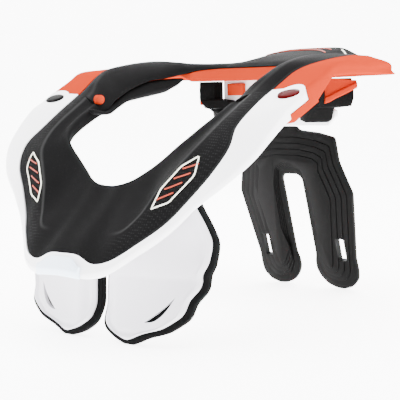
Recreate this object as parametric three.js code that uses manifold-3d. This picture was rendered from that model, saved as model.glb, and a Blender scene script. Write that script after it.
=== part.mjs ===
// A neck brace as worn for motocross: a hard collar in two halves round an open neck hole,
// padded on top, with chest plates in front and a forked back strut behind. Millimetres, +Z up.
// The wearer faces -Y and +X is the wearer's left. The brace stands on its chest plates and strut.
import * as THREE from 'three';
import { mergeVertices } from 'three/addons/utils/BufferGeometryUtils.js';
import Module from 'manifold-3d';

const wasm = await Module();
wasm.setup();

// Collar, measured from the line through the two pins
const halfWidth = 139; // midline to the side of the rim
const frontReach = 119; // pin line to the chin rim
const rearReach = 238; // pin line to the tail of the rim
const pinHeight = 184; // band surface at the pins, above the floor
const neckHalfWidth = halfWidth * 0.5036;
const neckFront = frontReach * 0.5126; // pin line to the front of the neck hole
const neckRear = rearReach * 0.5756; // pin line to the back of the neck hole
const padThickness = 8; // padding on the front and rear tables
const padRoll = 11.6; // how far the front padding turns down into the neck hole
const shellThickness = 3; // moulded walls
const rimWall = 4;
const clearance = 0.3; // between parts that touch

// Pins and the overlapping lugs of the two halves
const pinInset = 14; // pin axis to the side of the rim
const bandTilt = 24.5; // degrees, the band climbs to the rear
const lugDepth = 8; // thickness of the upper, white lug
const lugRound = 13; // radius of the white lug's end
const lugBase = 21; // radius of the orange lug below it
const lugBottom = 15; // underside of the orange lug, below the band surface
const pinRadius = 4;
const pinPlay = 0.1; // the pin turns in the rear half's bore
const capLong = 10; // half axes of the oval cap
const capWide = 7.5;
const capHeight = 2.4;

// Padding joint between the halves, at its inner and its outer end
const seamInner = -5;
const seamOuter = 8;

// Chest plates, from the floor up
const plateHalfGap = 3; // midline to the padding
const plateReach = halfWidth * 0.6835; // midline to the outer edge of the padding
const plateTall = pinHeight * 0.7337;
const plateTwist = 0.36; // how much more the outer edge leans back than the inner
const plateTwistStart = 15; // midline to the part of the plate that doesn't twist
const plateFront = frontReach * 0.6975; // tip of the plate in front of the pin line
const chestPadThickness = 8;
const slotLength = 27;
const slotWidth = 6;

// Pads under the rear arms
const armPadInner = neckHalfWidth * 0.914;
const armPadWidth = 26;
const armPadHeight = 14;

// Carrier at the middle of the back, with its clips
const carrierHalfWidth = neckHalfWidth * 0.8;
const carrierFoot = neckHalfWidth * 0.957; // half width of its lower part
const carrierY = neckRear * 1.095;
const carrierBase = pinHeight * 0.8424;
const carrierThickness = 4;
const carrierLedge = 24; // depth of the ledge over the strut
const clipWidth = 18;
const clipHeight = 11;
const clipDepth = 5;

// Scapula wings
const wingReach = neckHalfWidth * 1.243;
const wingBase = pinHeight * 0.8587;
const tailFloor = pinHeight * 1.0652; // underside of the rear collar at the neck hole
const tailFlare = 4; // how far the foot of the tail's wall stands out

// Back strut
const strutHeight = carrierBase * 0.9742;
const strutHalfWidth = neckHalfWidth * 0.9;
const strutThickness = 4.6;
const strutLean = 16.4; // degrees, feet to the rear
const strutTopY = carrierY * 1.0867;
const forkHalfGap = 11.5;
const forkTop = strutHeight * 0.722;
const legSlotWidth = 8;
const legSlotLength = 22;

// Latch button in the wall of the neck hole
const buttonRadius = 4.2;
const buttonTravel = 2.5;
const knuckleRadius = 10;

const rad = THREE.MathUtils.degToRad;
const vec = (x, y, z) => new THREE.Vector3(x, y, z);
const mix = (a, b, t) => a.clone().lerp(b, t);
const ease = (v, from, to) => THREE.MathUtils.smoothstep(v, from, to);
const pinX = halfWidth - pinInset;

function table(columns, rows) {
  const names = columns.split(' ');
  return rows.map((row) => Object.fromEntries(names.map((name, i) => [name, row[i]])));
}

// Materials
const paint = (color, roughness) => new THREE.MeshStandardMaterial({ color, roughness, metalness: 0 });
const white = paint('#f1f1f4', 0.35);
const orange = paint('#ff6b4a', 0.4);
const foam = paint('#333333', 0.85);
const black = paint('#262626', 0.55);
const smoke = paint('#dfe8f2', 0.2);
const red = paint('#8a1420', 0.25);
const jet = paint('#161616', 0.3);

// Solids
function toSolid(geometry) {
  const bare = geometry.clone();
  bare.deleteAttribute('normal');
  bare.deleteAttribute('uv');
  const merged = mergeVertices(bare, 1e-4);
  const vertProperties = new Float32Array(merged.attributes.position.array);
  const triVerts = new Uint32Array(merged.index.array);
  return new wasm.Manifold(new wasm.Mesh({ numProp: 3, vertProperties, triVerts }));
}

function toGeometry(solid) {
  const { vertProperties, triVerts, numProp } = solid.getMesh();
  const geometry = new THREE.BufferGeometry();
  const position = new Float32Array((vertProperties.length / numProp) * 3);
  for (let i = 0; i < position.length / 3; i += 1) {
    for (let k = 0; k < 3; k += 1) position[3 * i + k] = vertProperties[numProp * i + k];
  }
  geometry.setAttribute('position', new THREE.BufferAttribute(position, 3));
  geometry.setIndex(new THREE.BufferAttribute(new Uint32Array(triVerts), 1));
  geometry.computeVertexNormals();
  return geometry;
}

// A closed body through a row of outlines that hold the same number of points
function loft(outlines) {
  const count = outlines[0].length;
  const points = outlines.flat();
  const faces = [];
  for (let s = 0; s < outlines.length - 1; s += 1) {
    for (let i = 0; i < count; i += 1) {
      const a = s * count + i;
      const b = s * count + ((i + 1) % count);
      const [c, d] = [a + count, b + count];
      const even = points[a].distanceTo(points[d]) < points[b].distanceTo(points[c]);
      faces.push(...(even ? [[a, b, d], [a, d, c]] : [[a, b, c], [b, d, c]]));
    }
  }
  const ends = [[outlines[0], 0, true], [outlines.at(-1), points.length - count, false]];
  for (const [outline, start, turned] of ends) {
    for (const [a, b, c] of capFaces(outline)) {
      faces.push(turned ? [start + c, start + b, start + a] : [start + a, start + b, start + c]);
    }
  }
  const geometry = new THREE.BufferGeometry();
  geometry.setAttribute('position', new THREE.Float32BufferAttribute(points.flatMap((p) => p.toArray()), 3));
  geometry.setIndex(faces.flat());
  return facingOut(geometry);
}

// Triangles that close one outline, seen along its own normal
function capFaces(outline) {
  const normal = vec(0, 0, 0);
  outline.forEach((p, i) => normal.add(p.clone().cross(outline[(i + 1) % outline.length])));
  normal.normalize();
  const side = mix(outline[1], outline[0], 0).sub(outline[0]).projectOnPlane(normal).normalize();
  const up = normal.clone().cross(side);
  const flat = outline.map((p) => new THREE.Vector2(p.dot(side), p.dot(up)));
  return THREE.ShapeUtils.triangulateShape(flat, []);
}

function facingOut(geometry) {
  const p = geometry.attributes.position;
  const index = geometry.index.array;
  const [a, b, c] = [vec(0, 0, 0), vec(0, 0, 0), vec(0, 0, 0)];
  let volume = 0;
  for (let i = 0; i < index.length; i += 3) {
    a.fromBufferAttribute(p, index[i]);
    b.fromBufferAttribute(p, index[i + 1]);
    c.fromBufferAttribute(p, index[i + 2]);
    volume += a.dot(b.cross(c));
  }
  if (volume < 0) {
    for (let i = 0; i < index.length; i += 3) [index[i], index[i + 1]] = [index[i + 1], index[i]];
  }
  return geometry;
}

const mirrorX = (geometry) => {
  const copy = geometry.clone().scale(-1, 1, 1);
  return facingOut(copy);
};

function boxSolid(from, to) {
  const size = to.clone().sub(from);
  const box = new THREE.BoxGeometry(size.x, size.y, size.z);
  box.translate(...mix(from, to, 0.5).toArray());
  return toSolid(box);
}

function prism(outline, depth, holes = []) {
  const corners = outline.map(([x, y]) => new THREE.Vector2(x, y));
  if (THREE.ShapeUtils.area(corners) < 0) corners.reverse();
  const shape = new THREE.Shape(corners);
  shape.holes = holes.map((hole) => new THREE.Path(hole.map(([x, y]) => new THREE.Vector2(x, y))));
  return new THREE.ExtrudeGeometry(shape, { depth, bevelEnabled: false });
}

// Collar lines: neck edge, ridge, outer edge of the padding and rim crease, from the midline outwards.
// x follows halfWidth (neck: neckHalfWidth), y the reach of that half (neck: its own), z pinHeight.
const frontRows = table('neckX neckY neckZ ridgeX ridgeY ridgeZ edgeX edgeY edgeZ rimX rimY rimZ deep', [
  [0, -0.984, 0.647, 0, -0.756, 0.478, 0, -0.941, 0.386, 0, -0.996, 0.332, 0.033],
  [0.171, -1, 0.655, 0.115, -0.756, 0.484, 0.101, -0.941, 0.383, 0.101, -0.996, 0.329, 0.033],
  [0.314, -0.951, 0.674, 0.216, -0.807, 0.467, 0.209, -0.941, 0.353, 0.194, -0.983, 0.326, 0.034],
  [0.429, -0.893, 0.701, 0.302, -0.798, 0.473, 0.309, -0.912, 0.367, 0.317, -0.933, 0.348, 0.034],
  [0.543, -0.844, 0.731, 0.374, -0.71, 0.538, 0.432, -0.807, 0.435, 0.45, -0.811, 0.424, 0.034],
  [0.671, -0.803, 0.769, 0.432, -0.63, 0.63, 0.54, -0.689, 0.511, 0.576, -0.702, 0.505, 0.034],
  [0.8, -0.762, 0.81, 0.504, -0.563, 0.709, 0.647, -0.597, 0.611, 0.705, -0.622, 0.603, 0.036],
  [0.9, -0.689, 0.845, 0.568, -0.496, 0.777, 0.741, -0.525, 0.707, 0.849, -0.538, 0.696, 0.04],
  [0.964, -0.541, 0.883, 0.604, -0.387, 0.84, 0.777, -0.42, 0.796, 0.942, -0.416, 0.788, 0.046],
  [0.993, -0.361, 0.916, 0.619, -0.261, 0.897, 0.741, -0.294, 0.872, 0.971, -0.277, 0.878, 0.058],
  [1, -0.164, 0.948, 0.626, -0.126, 0.948, 0.737, -0.143, 0.938, 0.982, -0.143, 0.951, 0.07],
  [1, 0, 0.973, 0.633, 0, 0.995, 0.741, 0, 0.992, 0.986, 0, 1, 0.078],
  [1.01, 0.262, 1.003, 0.651, 0.134, 1.054, 0.755, 0.134, 1.037, 0.99, 0.134, 1.058, 0.08],
]);
const rearRows = table('neckX neckY neckZ ridgeX ridgeY ridgeZ edgeX edgeY edgeZ rimX rimY rimZ low', [
  [0, 1, 1.13, 0, 0.94, 1.228, 0, 0.968, 1.165, 0, 1, 1.083, 1.076],
  [0.257, 1, 1.13, 0.225, 0.928, 1.22, 0.31, 0.945, 1.16, 0.331, 0.972, 1.087, 1.076],
  [0.514, 0.989, 1.13, 0.395, 0.83, 1.16, 0.555, 0.835, 1.147, 0.6, 0.872, 1.1, 1.076],
  [0.743, 0.956, 1.128, 0.496, 0.672, 1.148, 0.683, 0.71, 1.152, 0.763, 0.756, 1.122, 1.076],
  [0.914, 0.891, 1.12, 0.554, 0.571, 1.155, 0.77, 0.597, 1.158, 0.871, 0.622, 1.13, 1.076],
  [0.993, 0.796, 1.103, 0.59, 0.487, 1.165, 0.835, 0.508, 1.16, 0.935, 0.5, 1.128, 1.076],
  [1.029, 0.642, 1.084, 0.626, 0.391, 1.171, 0.856, 0.391, 1.158, 0.982, 0.387, 1.125, 1.076],
  [1.029, 0.482, 1.071, 0.655, 0.286, 1.16, 0.835, 0.269, 1.139, 0.996, 0.277, 1.128, 1.074],
  [1.029, 0.299, 1.03, 0.694, 0.172, 1.136, 0.795, 0.176, 1.111, 0.998, 0.172, 1.115, 1.066],
  [1.029, 0.226, 1.005, 0.691, 0.13, 1.114, 0.773, 0.13, 1.087, 0.996, 0.13, 1.084, 1.02],
  [1.014, 0.146, 0.978, 0.669, 0.084, 1.076, 0.759, 0.084, 1.052, 0.993, 0.084, 1.054, 0.966],
  [1, 0.066, 0.932, 0.633, 0.038, 1.024, 0.748, 0.038, 1.016, 0.986, 0.038, 1.024, 0.93],
  [1, -0.08, 0.895, 0.626, -0.05, 0.953, 0.737, -0.05, 0.945, 0.984, -0.05, 0.957, 0.885],
]);

function collarLines(rows, reach, neckReach, last) {
  const curve = (name, width, depth) => {
    const size = vec(width, depth, pinHeight);
    const half = rows.map((row) => vec(row[`${name}X`], row[`${name}Y`], row[`${name}Z`]).multiply(size));
    const mirrored = half.slice(1).reverse().map((p) => vec(-p.x, p.y, p.z));
    return new THREE.CatmullRomCurve3([...mirrored, ...half], false, 'centripetal');
  };
  const spans = rows.length - 1;
  return {
    spans,
    neck: curve('neck', neckHalfWidth, neckReach),
    ridge: curve('ridge', halfWidth, reach),
    edge: curve('edge', halfWidth, reach),
    rim: curve('rim', halfWidth, reach),
    value: (s) => {
      const at = Math.min(Math.abs(s), spans - 1e-6);
      const i = Math.floor(at);
      return THREE.MathUtils.lerp(rows[i][last], rows[i + 1][last], at - i) * pinHeight;
    },
  };
}

const frontLines = collarLines(frontRows, frontReach, neckFront, 'deep');
const rearLines = collarLines(rearRows, rearReach, neckRear, 'low');

// The four points of one station; s runs from -spans to spans, 0 at the midline
function station(lines, s) {
  const t = (s + lines.spans) / (2 * lines.spans);
  const neck = lines.neck.getPoint(t);
  const ridge = lines.ridge.getPoint(t);
  const edge = lines.edge.getPoint(t);
  const rim = lines.rim.getPoint(t);
  const across = edge.clone().sub(neck).normalize();
  const up = lines.ridge.getTangent(t).cross(across).normalize();
  if (up.z < 0) up.negate();
  const out = rim.clone().sub(edge).setZ(0).normalize();
  const away = ridge.clone().sub(neck).setZ(0).normalize();
  return { s, neck, ridge, edge, rim, across, up, out, away, value: lines.value(s) };
}

function stations(lines, from, to, perSpan) {
  const count = Math.round((to - from) * perSpan);
  return Array.from({ length: count + 1 }, (_, i) => station(lines, from + ((to - from) * i) / count));
}

const along = (p, direction, distance) => p.clone().addScaledVector(direction, distance);
const lower = (p, distance) => vec(p.x, p.y, p.z - distance);

// Front half
const dish = 3; // hollow of the table between neck and ridge
const underPad = padThickness + clearance;
const neckLip = 5; // width of the padding's turned edge

function frontPadOutline(st) {
  const middle = along(mix(st.neck, st.ridge, 0.5), st.up, -dish);
  return [
    along(lower(st.neck, padRoll), st.away, 0.6),
    lower(st.neck, 3),
    along(st.neck, st.across, 3),
    middle,
    st.ridge,
    mix(st.ridge, st.edge, 0.5),
    along(st.edge, st.out, -1),
    along(st.edge, st.up, -1.5),
    along(st.edge, st.up, -padThickness),
    along(st.ridge, st.up, -padThickness),
    along(middle, st.up, -padThickness),
    lower(along(st.neck, st.across, neckLip), padThickness + 0.2),
    lower(along(st.neck, st.across, neckLip), padRoll),
  ];
}

function frontShellOutline(st) {
  const middle = along(mix(st.neck, st.ridge, 0.5), st.up, -dish - underPad);
  const inner = lower(along(st.neck, st.across, neckLip + 0.6), underPad + 0.6);
  const foot = along(lower(st.rim, st.value), st.out, -1);
  const beside = along(st.edge, st.out, clearance);
  return [
    inner,
    middle,
    along(st.ridge, st.up, -underPad),
    along(beside, st.up, -underPad),
    beside,
    along(st.rim, st.out, -1.2),
    lower(st.rim, 1.2),
    foot,
    along(foot, st.out, -rimWall),
    along(st.edge, st.up, -underPad - shellThickness),
    along(st.ridge, st.up, -underPad - shellThickness),
    along(middle, st.up, -shellThickness),
    lower(inner, shellThickness),
  ];
}

const pinFrame = new THREE.Matrix4().makeRotationX(rad(bandTilt)).setPosition(pinX, 0, pinHeight);

// A round solid about the pin axis, between two heights above the band surface
function pinDisc(radius, from, to, wide = 1, sides = 32) {
  const disc = new THREE.CylinderGeometry(radius, radius, to - from, sides);
  disc.rotateX(Math.PI / 2);
  disc.translate(0, 0, (from + to) / 2);
  disc.scale(1, wide, 1);
  return toSolid(disc.applyMatrix4(pinFrame));
}

const bothSides = (solid) => solid.add(toSolid(mirrorX(toGeometry(solid))));
const far = 400;

// All that lies in front of the joint between the halves, moved back by a gap
function frontZone(gap) {
  const edgeX = frontRows.at(-1).edgeX * halfWidth;
  const half = [
    [far, -far], [far, 0], [pinX, 0], [pinX, seamOuter], [edgeX, seamOuter], [neckHalfWidth - 2, seamInner],
  ];
  const outline = [...half, ...half.slice().reverse().map(([x, y]) => [-x, y])];
  const zone = prism(outline.map(([x, y]) => [x, y > -far ? y + gap : y]), far);
  return toSolid(zone);
}

const whiteEnd = bothSides(pinDisc(lugRound, -lugDepth, far / 4));
const lugPocket = bothSides(pinDisc(lugBase + 0.5, -far / 4, -lugDepth));
const frontSpan = stations(frontLines, -12, 12, 2);
const padLoft = toSolid(loft(frontSpan.map(frontPadOutline)));
const padBed = padLoft.add(padLoft.translate(0, 0, -clearance * 0.7));
const frontLoft = toSolid(loft(frontSpan.map(frontShellOutline))).subtract(padBed);
const pinBore = pinDisc(pinRadius + clearance, -far / 4, far / 4, 1, 24);
const rearBore = pinDisc(pinRadius + pinPlay, -far / 4, far / 4, 1, 24);
const capSeat = pinDisc(capLong + clearance, -capHeight + 0.6, far / 4, capWide / capLong, 24);
const rearZone = boxSolid(vec(-far, -far, 0), vec(far, far, far)).subtract(frontZone(0));
const frontShell = frontLoft
  .subtract(rearZone.subtract(whiteEnd))
  .subtract(lugPocket)
  .subtract(bothSides(pinBore))
  .subtract(bothSides(capSeat));
const padZoneFront = frontZone(-clearance / 2);
const frontPad = padLoft.intersect(padZoneFront);

// Cover over the middle of the chin rim
const coverSpan = 1.66; // half its width, in spans of the front lines
function chinCoverOutline(st) {
  const wall = 2.4;
  const gap = clearance + 0.2;
  const forward = vec(st.out.x, st.out.y, 0);
  const crease = along(st.rim, forward, gap);
  const share = 0.55 - 0.5 * ease(Math.abs(st.s), 0.7, coverSpan);
  const slope = st.edge.clone().sub(st.rim).multiplyScalar(share);
  const top = st.rim.clone().add(slope).add(vec(0, 0, gap + 0.3));
  const foot = along(lower(st.rim, st.value), forward, gap - 0.6);
  return [
    top,
    lower(crease, -0.2),
    foot,
    along(foot, forward, wall - 0.6),
    along(lower(crease, 1), forward, wall),
    along(along(crease, forward, wall * 0.5), vec(0, 0, 1), wall * 0.7),
    along(along(top, forward, 0.6), vec(0, 0, 1), wall * 0.8),
  ];
}
const chinCover = loft(stations(frontLines, -coverSpan, coverSpan, 3).map(chinCoverOutline));

// Rear half
const coverEnd = neckRear * 0.78; // ahead of this the padding hides the inner wall of the shell
function rearSection(st) {
  const bulgeUp = vec(st.up.x, st.up.y, st.up.z);
  const open = ease(st.neck.y, coverEnd, neckRear * 0.86);
  const inside = st.ridge.clone().sub(st.neck).normalize();
  const face = along(bulgeUp, inside, -bulgeUp.dot(inside)).normalize();
  const bulge = THREE.MathUtils.lerp(4.5, 3, open);
  return { open, face, bulge };
}

function rearPadOutline(st) {
  const { face, bulge, open } = rearSection(st);
  const lip = THREE.MathUtils.lerp(padThickness, neckLip, open);
  return [
    st.neck,
    along(mix(st.neck, st.ridge, 0.1), face, bulge * 0.9),
    along(mix(st.neck, st.ridge, 0.38), face, bulge * 1.2),
    along(mix(st.neck, st.ridge, 0.72), face, bulge * 0.8),
    st.ridge,
    mix(st.ridge, st.edge, 0.5).add(vec(0, 0, 0.5)),
    along(st.edge, st.out, -1),
    lower(st.edge, 1.5),
    lower(st.edge, padThickness * 0.7),
    lower(st.ridge, padThickness),
    along(mix(st.neck, st.ridge, 0.5), face, -padThickness * 0.55),
    along(st.neck, st.away, lip),
  ];
}

function rearShellOutline(st) {
  const { face, open } = rearSection(st);
  const lip = THREE.MathUtils.lerp(padThickness + clearance, 0.4, open);
  const solid = 1 - ease(st.rim.y, rearReach * 0.1, rearReach * 0.2);
  const innerTop = lower(along(st.neck, st.away, lip), clearance * Math.min(open * 9, 2));
  const innerFoot = vec(innerTop.x, innerTop.y, THREE.MathUtils.lerp(innerTop.z - 0.8, tailFloor, open));
  const under = lower(along(st.neck, st.away, padThickness + clearance), clearance);
  const flare = tailFlare * ease(st.rim.y, rearReach * 0.4, rearReach * 0.8);
  const foot = along(vec(st.rim.x, st.rim.y, st.value), st.out, flare - 0.6);
  const beside = along(st.edge, st.out, clearance);
  const sink = padThickness * 0.7 + clearance;
  const belowEdge = lower(beside, sink + shellThickness);
  const belowRidge = lower(st.ridge, padThickness + clearance + shellThickness);
  const deep = (p, share) => vec(p.x, p.y, THREE.MathUtils.lerp(p.z, foot.z + 0.6, solid * share));
  const middle = along(mix(st.neck, st.ridge, 0.5), face, -padThickness * 0.55 - clearance);
  return [
    innerTop,
    mix(innerTop, mix(middle, under, open), 0.1 + 0.85 * open),
    middle,
    lower(st.ridge, padThickness + clearance),
    lower(beside, sink),
    beside,
    along(st.rim, st.out, -1.5).add(vec(0, 0, 0.6)),
    lower(st.rim, 1.5),
    foot,
    along(foot, st.out, -rimWall),
    deep(belowEdge, 1),
    deep(belowRidge, 0.4),
    along(middle, face, -shellThickness),
    along(innerFoot, st.away, shellThickness),
    innerFoot,
  ];
}

const rearSpan = stations(rearLines, -12, 12, 1.5);
const rearPadLoft = toSolid(loft(rearSpan.map(rearPadOutline)));
const rearBed = rearPadLoft.add(rearPadLoft.translate(0, 0, -clearance * 0.7));
const rearLoft = toSolid(loft(rearSpan.map(rearShellOutline))).subtract(rearBed);
const wallX = frontRows[11].rimX * halfWidth;
const wallLimit = boxSolid(vec(-wallX, -far, 0), vec(wallX, far, far));
const lugs = bothSides(pinDisc(lugBase, -lugBottom, -lugDepth - 0.4)).intersect(wallLimit);
const rearShell = rearLoft
  .subtract(frontZone(clearance + 0.1))
  .subtract(bothSides(pinDisc(lugRound + 0.4, -lugDepth - 0.4, far / 4)))
  .add(lugs)
  .subtract(rearBore);

const buttonY = 2;
const buttonZ = pinHeight - 2;
function crossBar(radius, from, to, sides = 24) {
  const bar = new THREE.CylinderGeometry(radius, radius, to - from, sides);
  bar.rotateZ(Math.PI / 2);
  bar.translate((from + to) / 2, buttonY, buttonZ);
  return toSolid(bar);
}
const buttonHead = -neckHalfWidth + 1.5;
const buttonTail = -neckHalfWidth - 5;
const rearPad = rearPadLoft
  .subtract(frontZone(clearance / 2))
  .subtract(crossBar(buttonRadius + clearance, buttonTail - buttonTravel - 0.5, 0));
const button = crossBar(buttonRadius, buttonTail, buttonHead);

// Pins
function pin(stemEnd) {
  const cap = pinDisc(capLong, -capHeight + 1, 0.8, capWide / capLong, 24);
  return cap.add(pinDisc(pinRadius, stemEnd, -capHeight + 1.2, 1, 24));
}

// Chest plates: rows from the tip upwards, heights as shares of plateTall, sides of plateReach
const padRows = table('z inner outer', [
  [0, 0.3, 0.38], [0.015, 0.22, 0.44], [0.037, 0.15, 0.5], [0.06, 0.1, 0.6], [0.075, 0.07, 0.7],
  [0.1, 0.045, 0.77], [0.15, 0.032, 0.845], [0.22, 0.032, 0.905], [0.3, 0.032, 0.947],
  [0.37, 0.04, 0.973], [0.48, 0.055, 1],
  [0.57, 0.075, 1], [0.67, 0.1, 0.94], [0.75, 0.12, 0.875], [0.89, 0.15, 0.79], [1, 0.16, 0.74],
]);
const plateInset = 3.4;

function plateY(x, z) {
  const upper = plateTall * 0.09 * ease(z, plateTall * 0.37, plateTall * 0.6);
  const climb = Math.min(z, plateTall * 0.37) + upper;
  const side = (x - plateTwistStart) / (plateReach * 0.79);
  return -plateFront + climb * (0.1 + plateTwist * side);
}

function plateOutline(z, inner, outer, front, thickness) {
  const steps = 4;
  const xs = Array.from({ length: steps + 1 }, (_, i) => THREE.MathUtils.lerp(inner, outer, i / steps));
  const face = xs.map((x) => vec(x, plateY(x, z) + front, z));
  const back = xs.slice().reverse().map((x) => vec(x, plateY(x, z) + front + thickness, z));
  return [...face, ...back];
}

function chestPlate(inset, lift, front, thickness) {
  const outlines = padRows.map((row) => {
    const z = row.z * (plateTall - lift) + lift;
    const outer = row.outer * plateReach - inset;
    const inner = Math.min(plateHalfGap + (row.inner - 0.032) * plateReach + inset, outer - 1);
    return plateOutline(z, inner, outer, front, thickness);
  });
  return toSolid(loft(outlines));
}

function underFront(st) {
  const outline = frontShellOutline(st);
  const below = outline.slice(7).map((p) => lower(p, clearance * 2));
  const foot = below[0];
  const first = along(foot, st.out, 3);
  const above = below.map((p) => lower(p, -far / 4)).reverse();
  return [first, ...below, ...above, lower(first, -far / 4)];
}
const frontBlock = toSolid(loft(stations(frontLines, -11, 11, 2).map(underFront)));

function crescent() {
  const [x, z] = [plateReach * 0.5, plateTall * 0.135];
  const lift = slotLength * 0.72;
  const tips = [new THREE.Vector2(x, z), new THREE.Vector2(x + slotLength * 0.86, z + lift)];
  const lowBend = new THREE.Vector2(x + slotLength * 0.55, z - 1);
  const highBend = new THREE.Vector2(x + slotLength * 0.5, z - 1 + slotWidth * 1.6);
  const lowerEdge = new THREE.QuadraticBezierCurve(tips[0], lowBend, tips[1]);
  const upperEdge = new THREE.QuadraticBezierCurve(tips[1], highBend, tips[0]);
  const outline = [...lowerEdge.getPoints(6).slice(0, -1), ...upperEdge.getPoints(6).slice(0, -1)];
  const bar = prism(outline.map((p) => [p.x, p.y]), far);
  bar.rotateX(Math.PI / 2);
  bar.translate(0, far / 2, 0);
  return toSolid(bar);
}

const plate = chestPlate(plateInset, 4, 0, shellThickness).subtract(crescent()).subtract(frontBlock);
const behindEdge = boxSolid(vec(-far, 5 - neckFront, plateTall * 0.87), vec(far, 0, far));
const chestPad = chestPlate(0, 0, shellThickness + clearance, chestPadThickness)
  .subtract(frontBlock)
  .subtract(behindEdge);

// Pads under the rear arms: rows from the hook in front to the tail, y as shares of neckRear,
// the lower edge and the top as shares of pinHeight
const armRows = table('y low top inner width', [
  [-0.1, 0.938, 0.944, -0.12, 0.1],
  [-0.09, 0.922, 0.95, -0.14, 0.22],
  [-0.02, 0.918, 0.938, -0.1, 0.24],
  [0.04, 0.918, 0.935, -0.04, 0.5],
  [0.08, 0.918, 0.945, 0.06, 0.8],
  [0.16, 0.935, 0.972, 0.2, 1],
  [0.28, 0.968, 1.02, 0.25, 1],
  [0.48, 0.99, 1.066, 0.25, 1],
  [0.66, 1.01, 1.08, 0.22, 0.9],
  [0.76, 1.045, 1.085, 0.2, 0.6],
  [0.79, 1.075, 1.086, 0.2, 0.3],
]);
function armPadOutline(row) {
  const y = row.y * neckRear;
  const inner = armPadInner + row.inner * armPadWidth;
  const outer = inner + row.width * armPadWidth;
  const low = row.low * pinHeight;
  const top = row.top * pinHeight - clearance;
  const middle = (low + top) / 2;
  const soft = Math.min(armPadHeight * 0.3, (top - low) * 0.4, (outer - inner) * 0.3);
  return [
    vec(inner, y, middle), vec(inner + soft, y, low + soft * 0.3), vec((inner + outer) / 2, y, low),
    vec(outer - soft, y, low + soft * 0.3), vec(outer, y, middle), vec(outer, y, top),
    vec(inner + soft, y, top),
  ];
}
const rearBlock = toSolid(loft(rearSpan.map((st) => {
  const pad = rearPadOutline(st);
  const shell = rearShellOutline(st);
  const inside = along(pad[0], st.away, -1.2);
  const under = [inside, pad[0], pad.at(-1), ...shell.slice(8).reverse()].map((p) => lower(p, clearance));
  return [...under, ...under.map((p) => lower(p, -far / 4)).reverse()];
})));
const armPad = toSolid(loft(armRows.map(armPadOutline))).subtract(rearBlock);

// Carrier: an upright panel under the rear collar with a ledge over the strut
function carrierSolid() {
  const top = tailFloor + padThickness * 4;
  const corner = 8;
  const waist = (tailFloor + carrierBase) / 2;
  const half = [
    [carrierFoot - corner, carrierBase], [carrierFoot, carrierBase + corner], [carrierFoot, waist - corner],
    [carrierHalfWidth, waist], [carrierHalfWidth, top],
  ];
  const panel = prism([...half, ...half.slice().reverse().map(([x, z]) => [-x, z])], carrierThickness);
  panel.rotateX(Math.PI / 2);
  panel.translate(0, carrierY + carrierThickness, 0);
  const ledgeX = carrierFoot * 0.7;
  const ledgeEnd = vec(ledgeX, carrierY + carrierLedge, carrierBase + carrierThickness);
  const ledge = boxSolid(vec(-ledgeX, carrierY, carrierBase), ledgeEnd);
  return toSolid(panel).add(ledge).subtract(rearBlock);
}

function clipGeometry(side) {
  const clip = new THREE.BoxGeometry(clipWidth, clipDepth, clipHeight, 1, 1, 1);
  const y = carrierY - clearance - clipDepth / 2;
  clip.translate(side * carrierHalfWidth * 0.7, y, tailFloor - clipHeight * 0.72);
  return clip;
}

// Scapula wings: plan outlines from the base upwards, z in shares of the wing's height, x and the bead of
// wingReach, y of carrierY. The bead is a ridge down the front corner that covers the end of the shell.
const wingTall = tailFloor - clearance - wingBase;
const faceStart = vec(wingReach * 0.778, carrierY * 0.853, 0);
const faceEnd = vec(wingReach * 1.015, carrierY * 1.017, 0);
const faceRun = faceEnd.clone().sub(faceStart).normalize();
const faceOut = vec(faceRun.y, -faceRun.x, 0);
const wingRows = table('z cornerX cornerY bead outerX outerY heelX heelY backX innerX', [
  [0, 0.53, 0.9, 0.004, 0.7, 0.965, 0.705, 0.985, 0.69, 0.46],
  [0.06, 0.55, 0.88, 0.004, 0.735, 0.965, 0.745, 0.985, 0.73, 0.42],
  [0.32, 0.64, 0.872, 0.008, 0.77, 0.97, 0.775, 0.985, 0.76, 0.42],
  [0.36, 0.72, 0.864, 0.02, 0.93, 1.014, 0.92, 1.035, 0.8, 0.44],
  [0.54, 0.768, 0.857, 0.058, 0.955, 1.03, 0.93, 1.048, 0.8, 0.5],
  [0.58, 0.776, 0.854, 0.058, 0.955, 1.03, 0.93, 1.05, 0.8, 0.655],
  [0.84, 0.776, 0.854, 0.058, 0.955, 1.03, 0.93, 1.05, 0.8, 0.655],
  [1, 0.776, 0.858, 0.058, 0.935, 1.02, 0.91, 1.045, 0.8, 0.655],
]);
function wingOutline(row) {
  const z = wingBase + row.z * wingTall;
  const back = carrierY - clearance;
  const at = (x, y) => vec(x * wingReach, y * carrierY, z);
  const corner = at(row.cornerX, row.cornerY);
  const bead = along(corner, faceRun, 3);
  return [
    at(row.innerX, row.cornerY + 0.055),
    corner,
    bead,
    along(bead, faceOut, -row.bead * wingReach),
    at(row.outerX, row.outerY),
    at(row.heelX, row.heelY),
    vec(row.backX * wingReach, back, z),
    vec(row.innerX * wingReach, back, z),
  ];
}
const wingPad = toSolid(loft(wingRows.map(wingOutline)));

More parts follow.
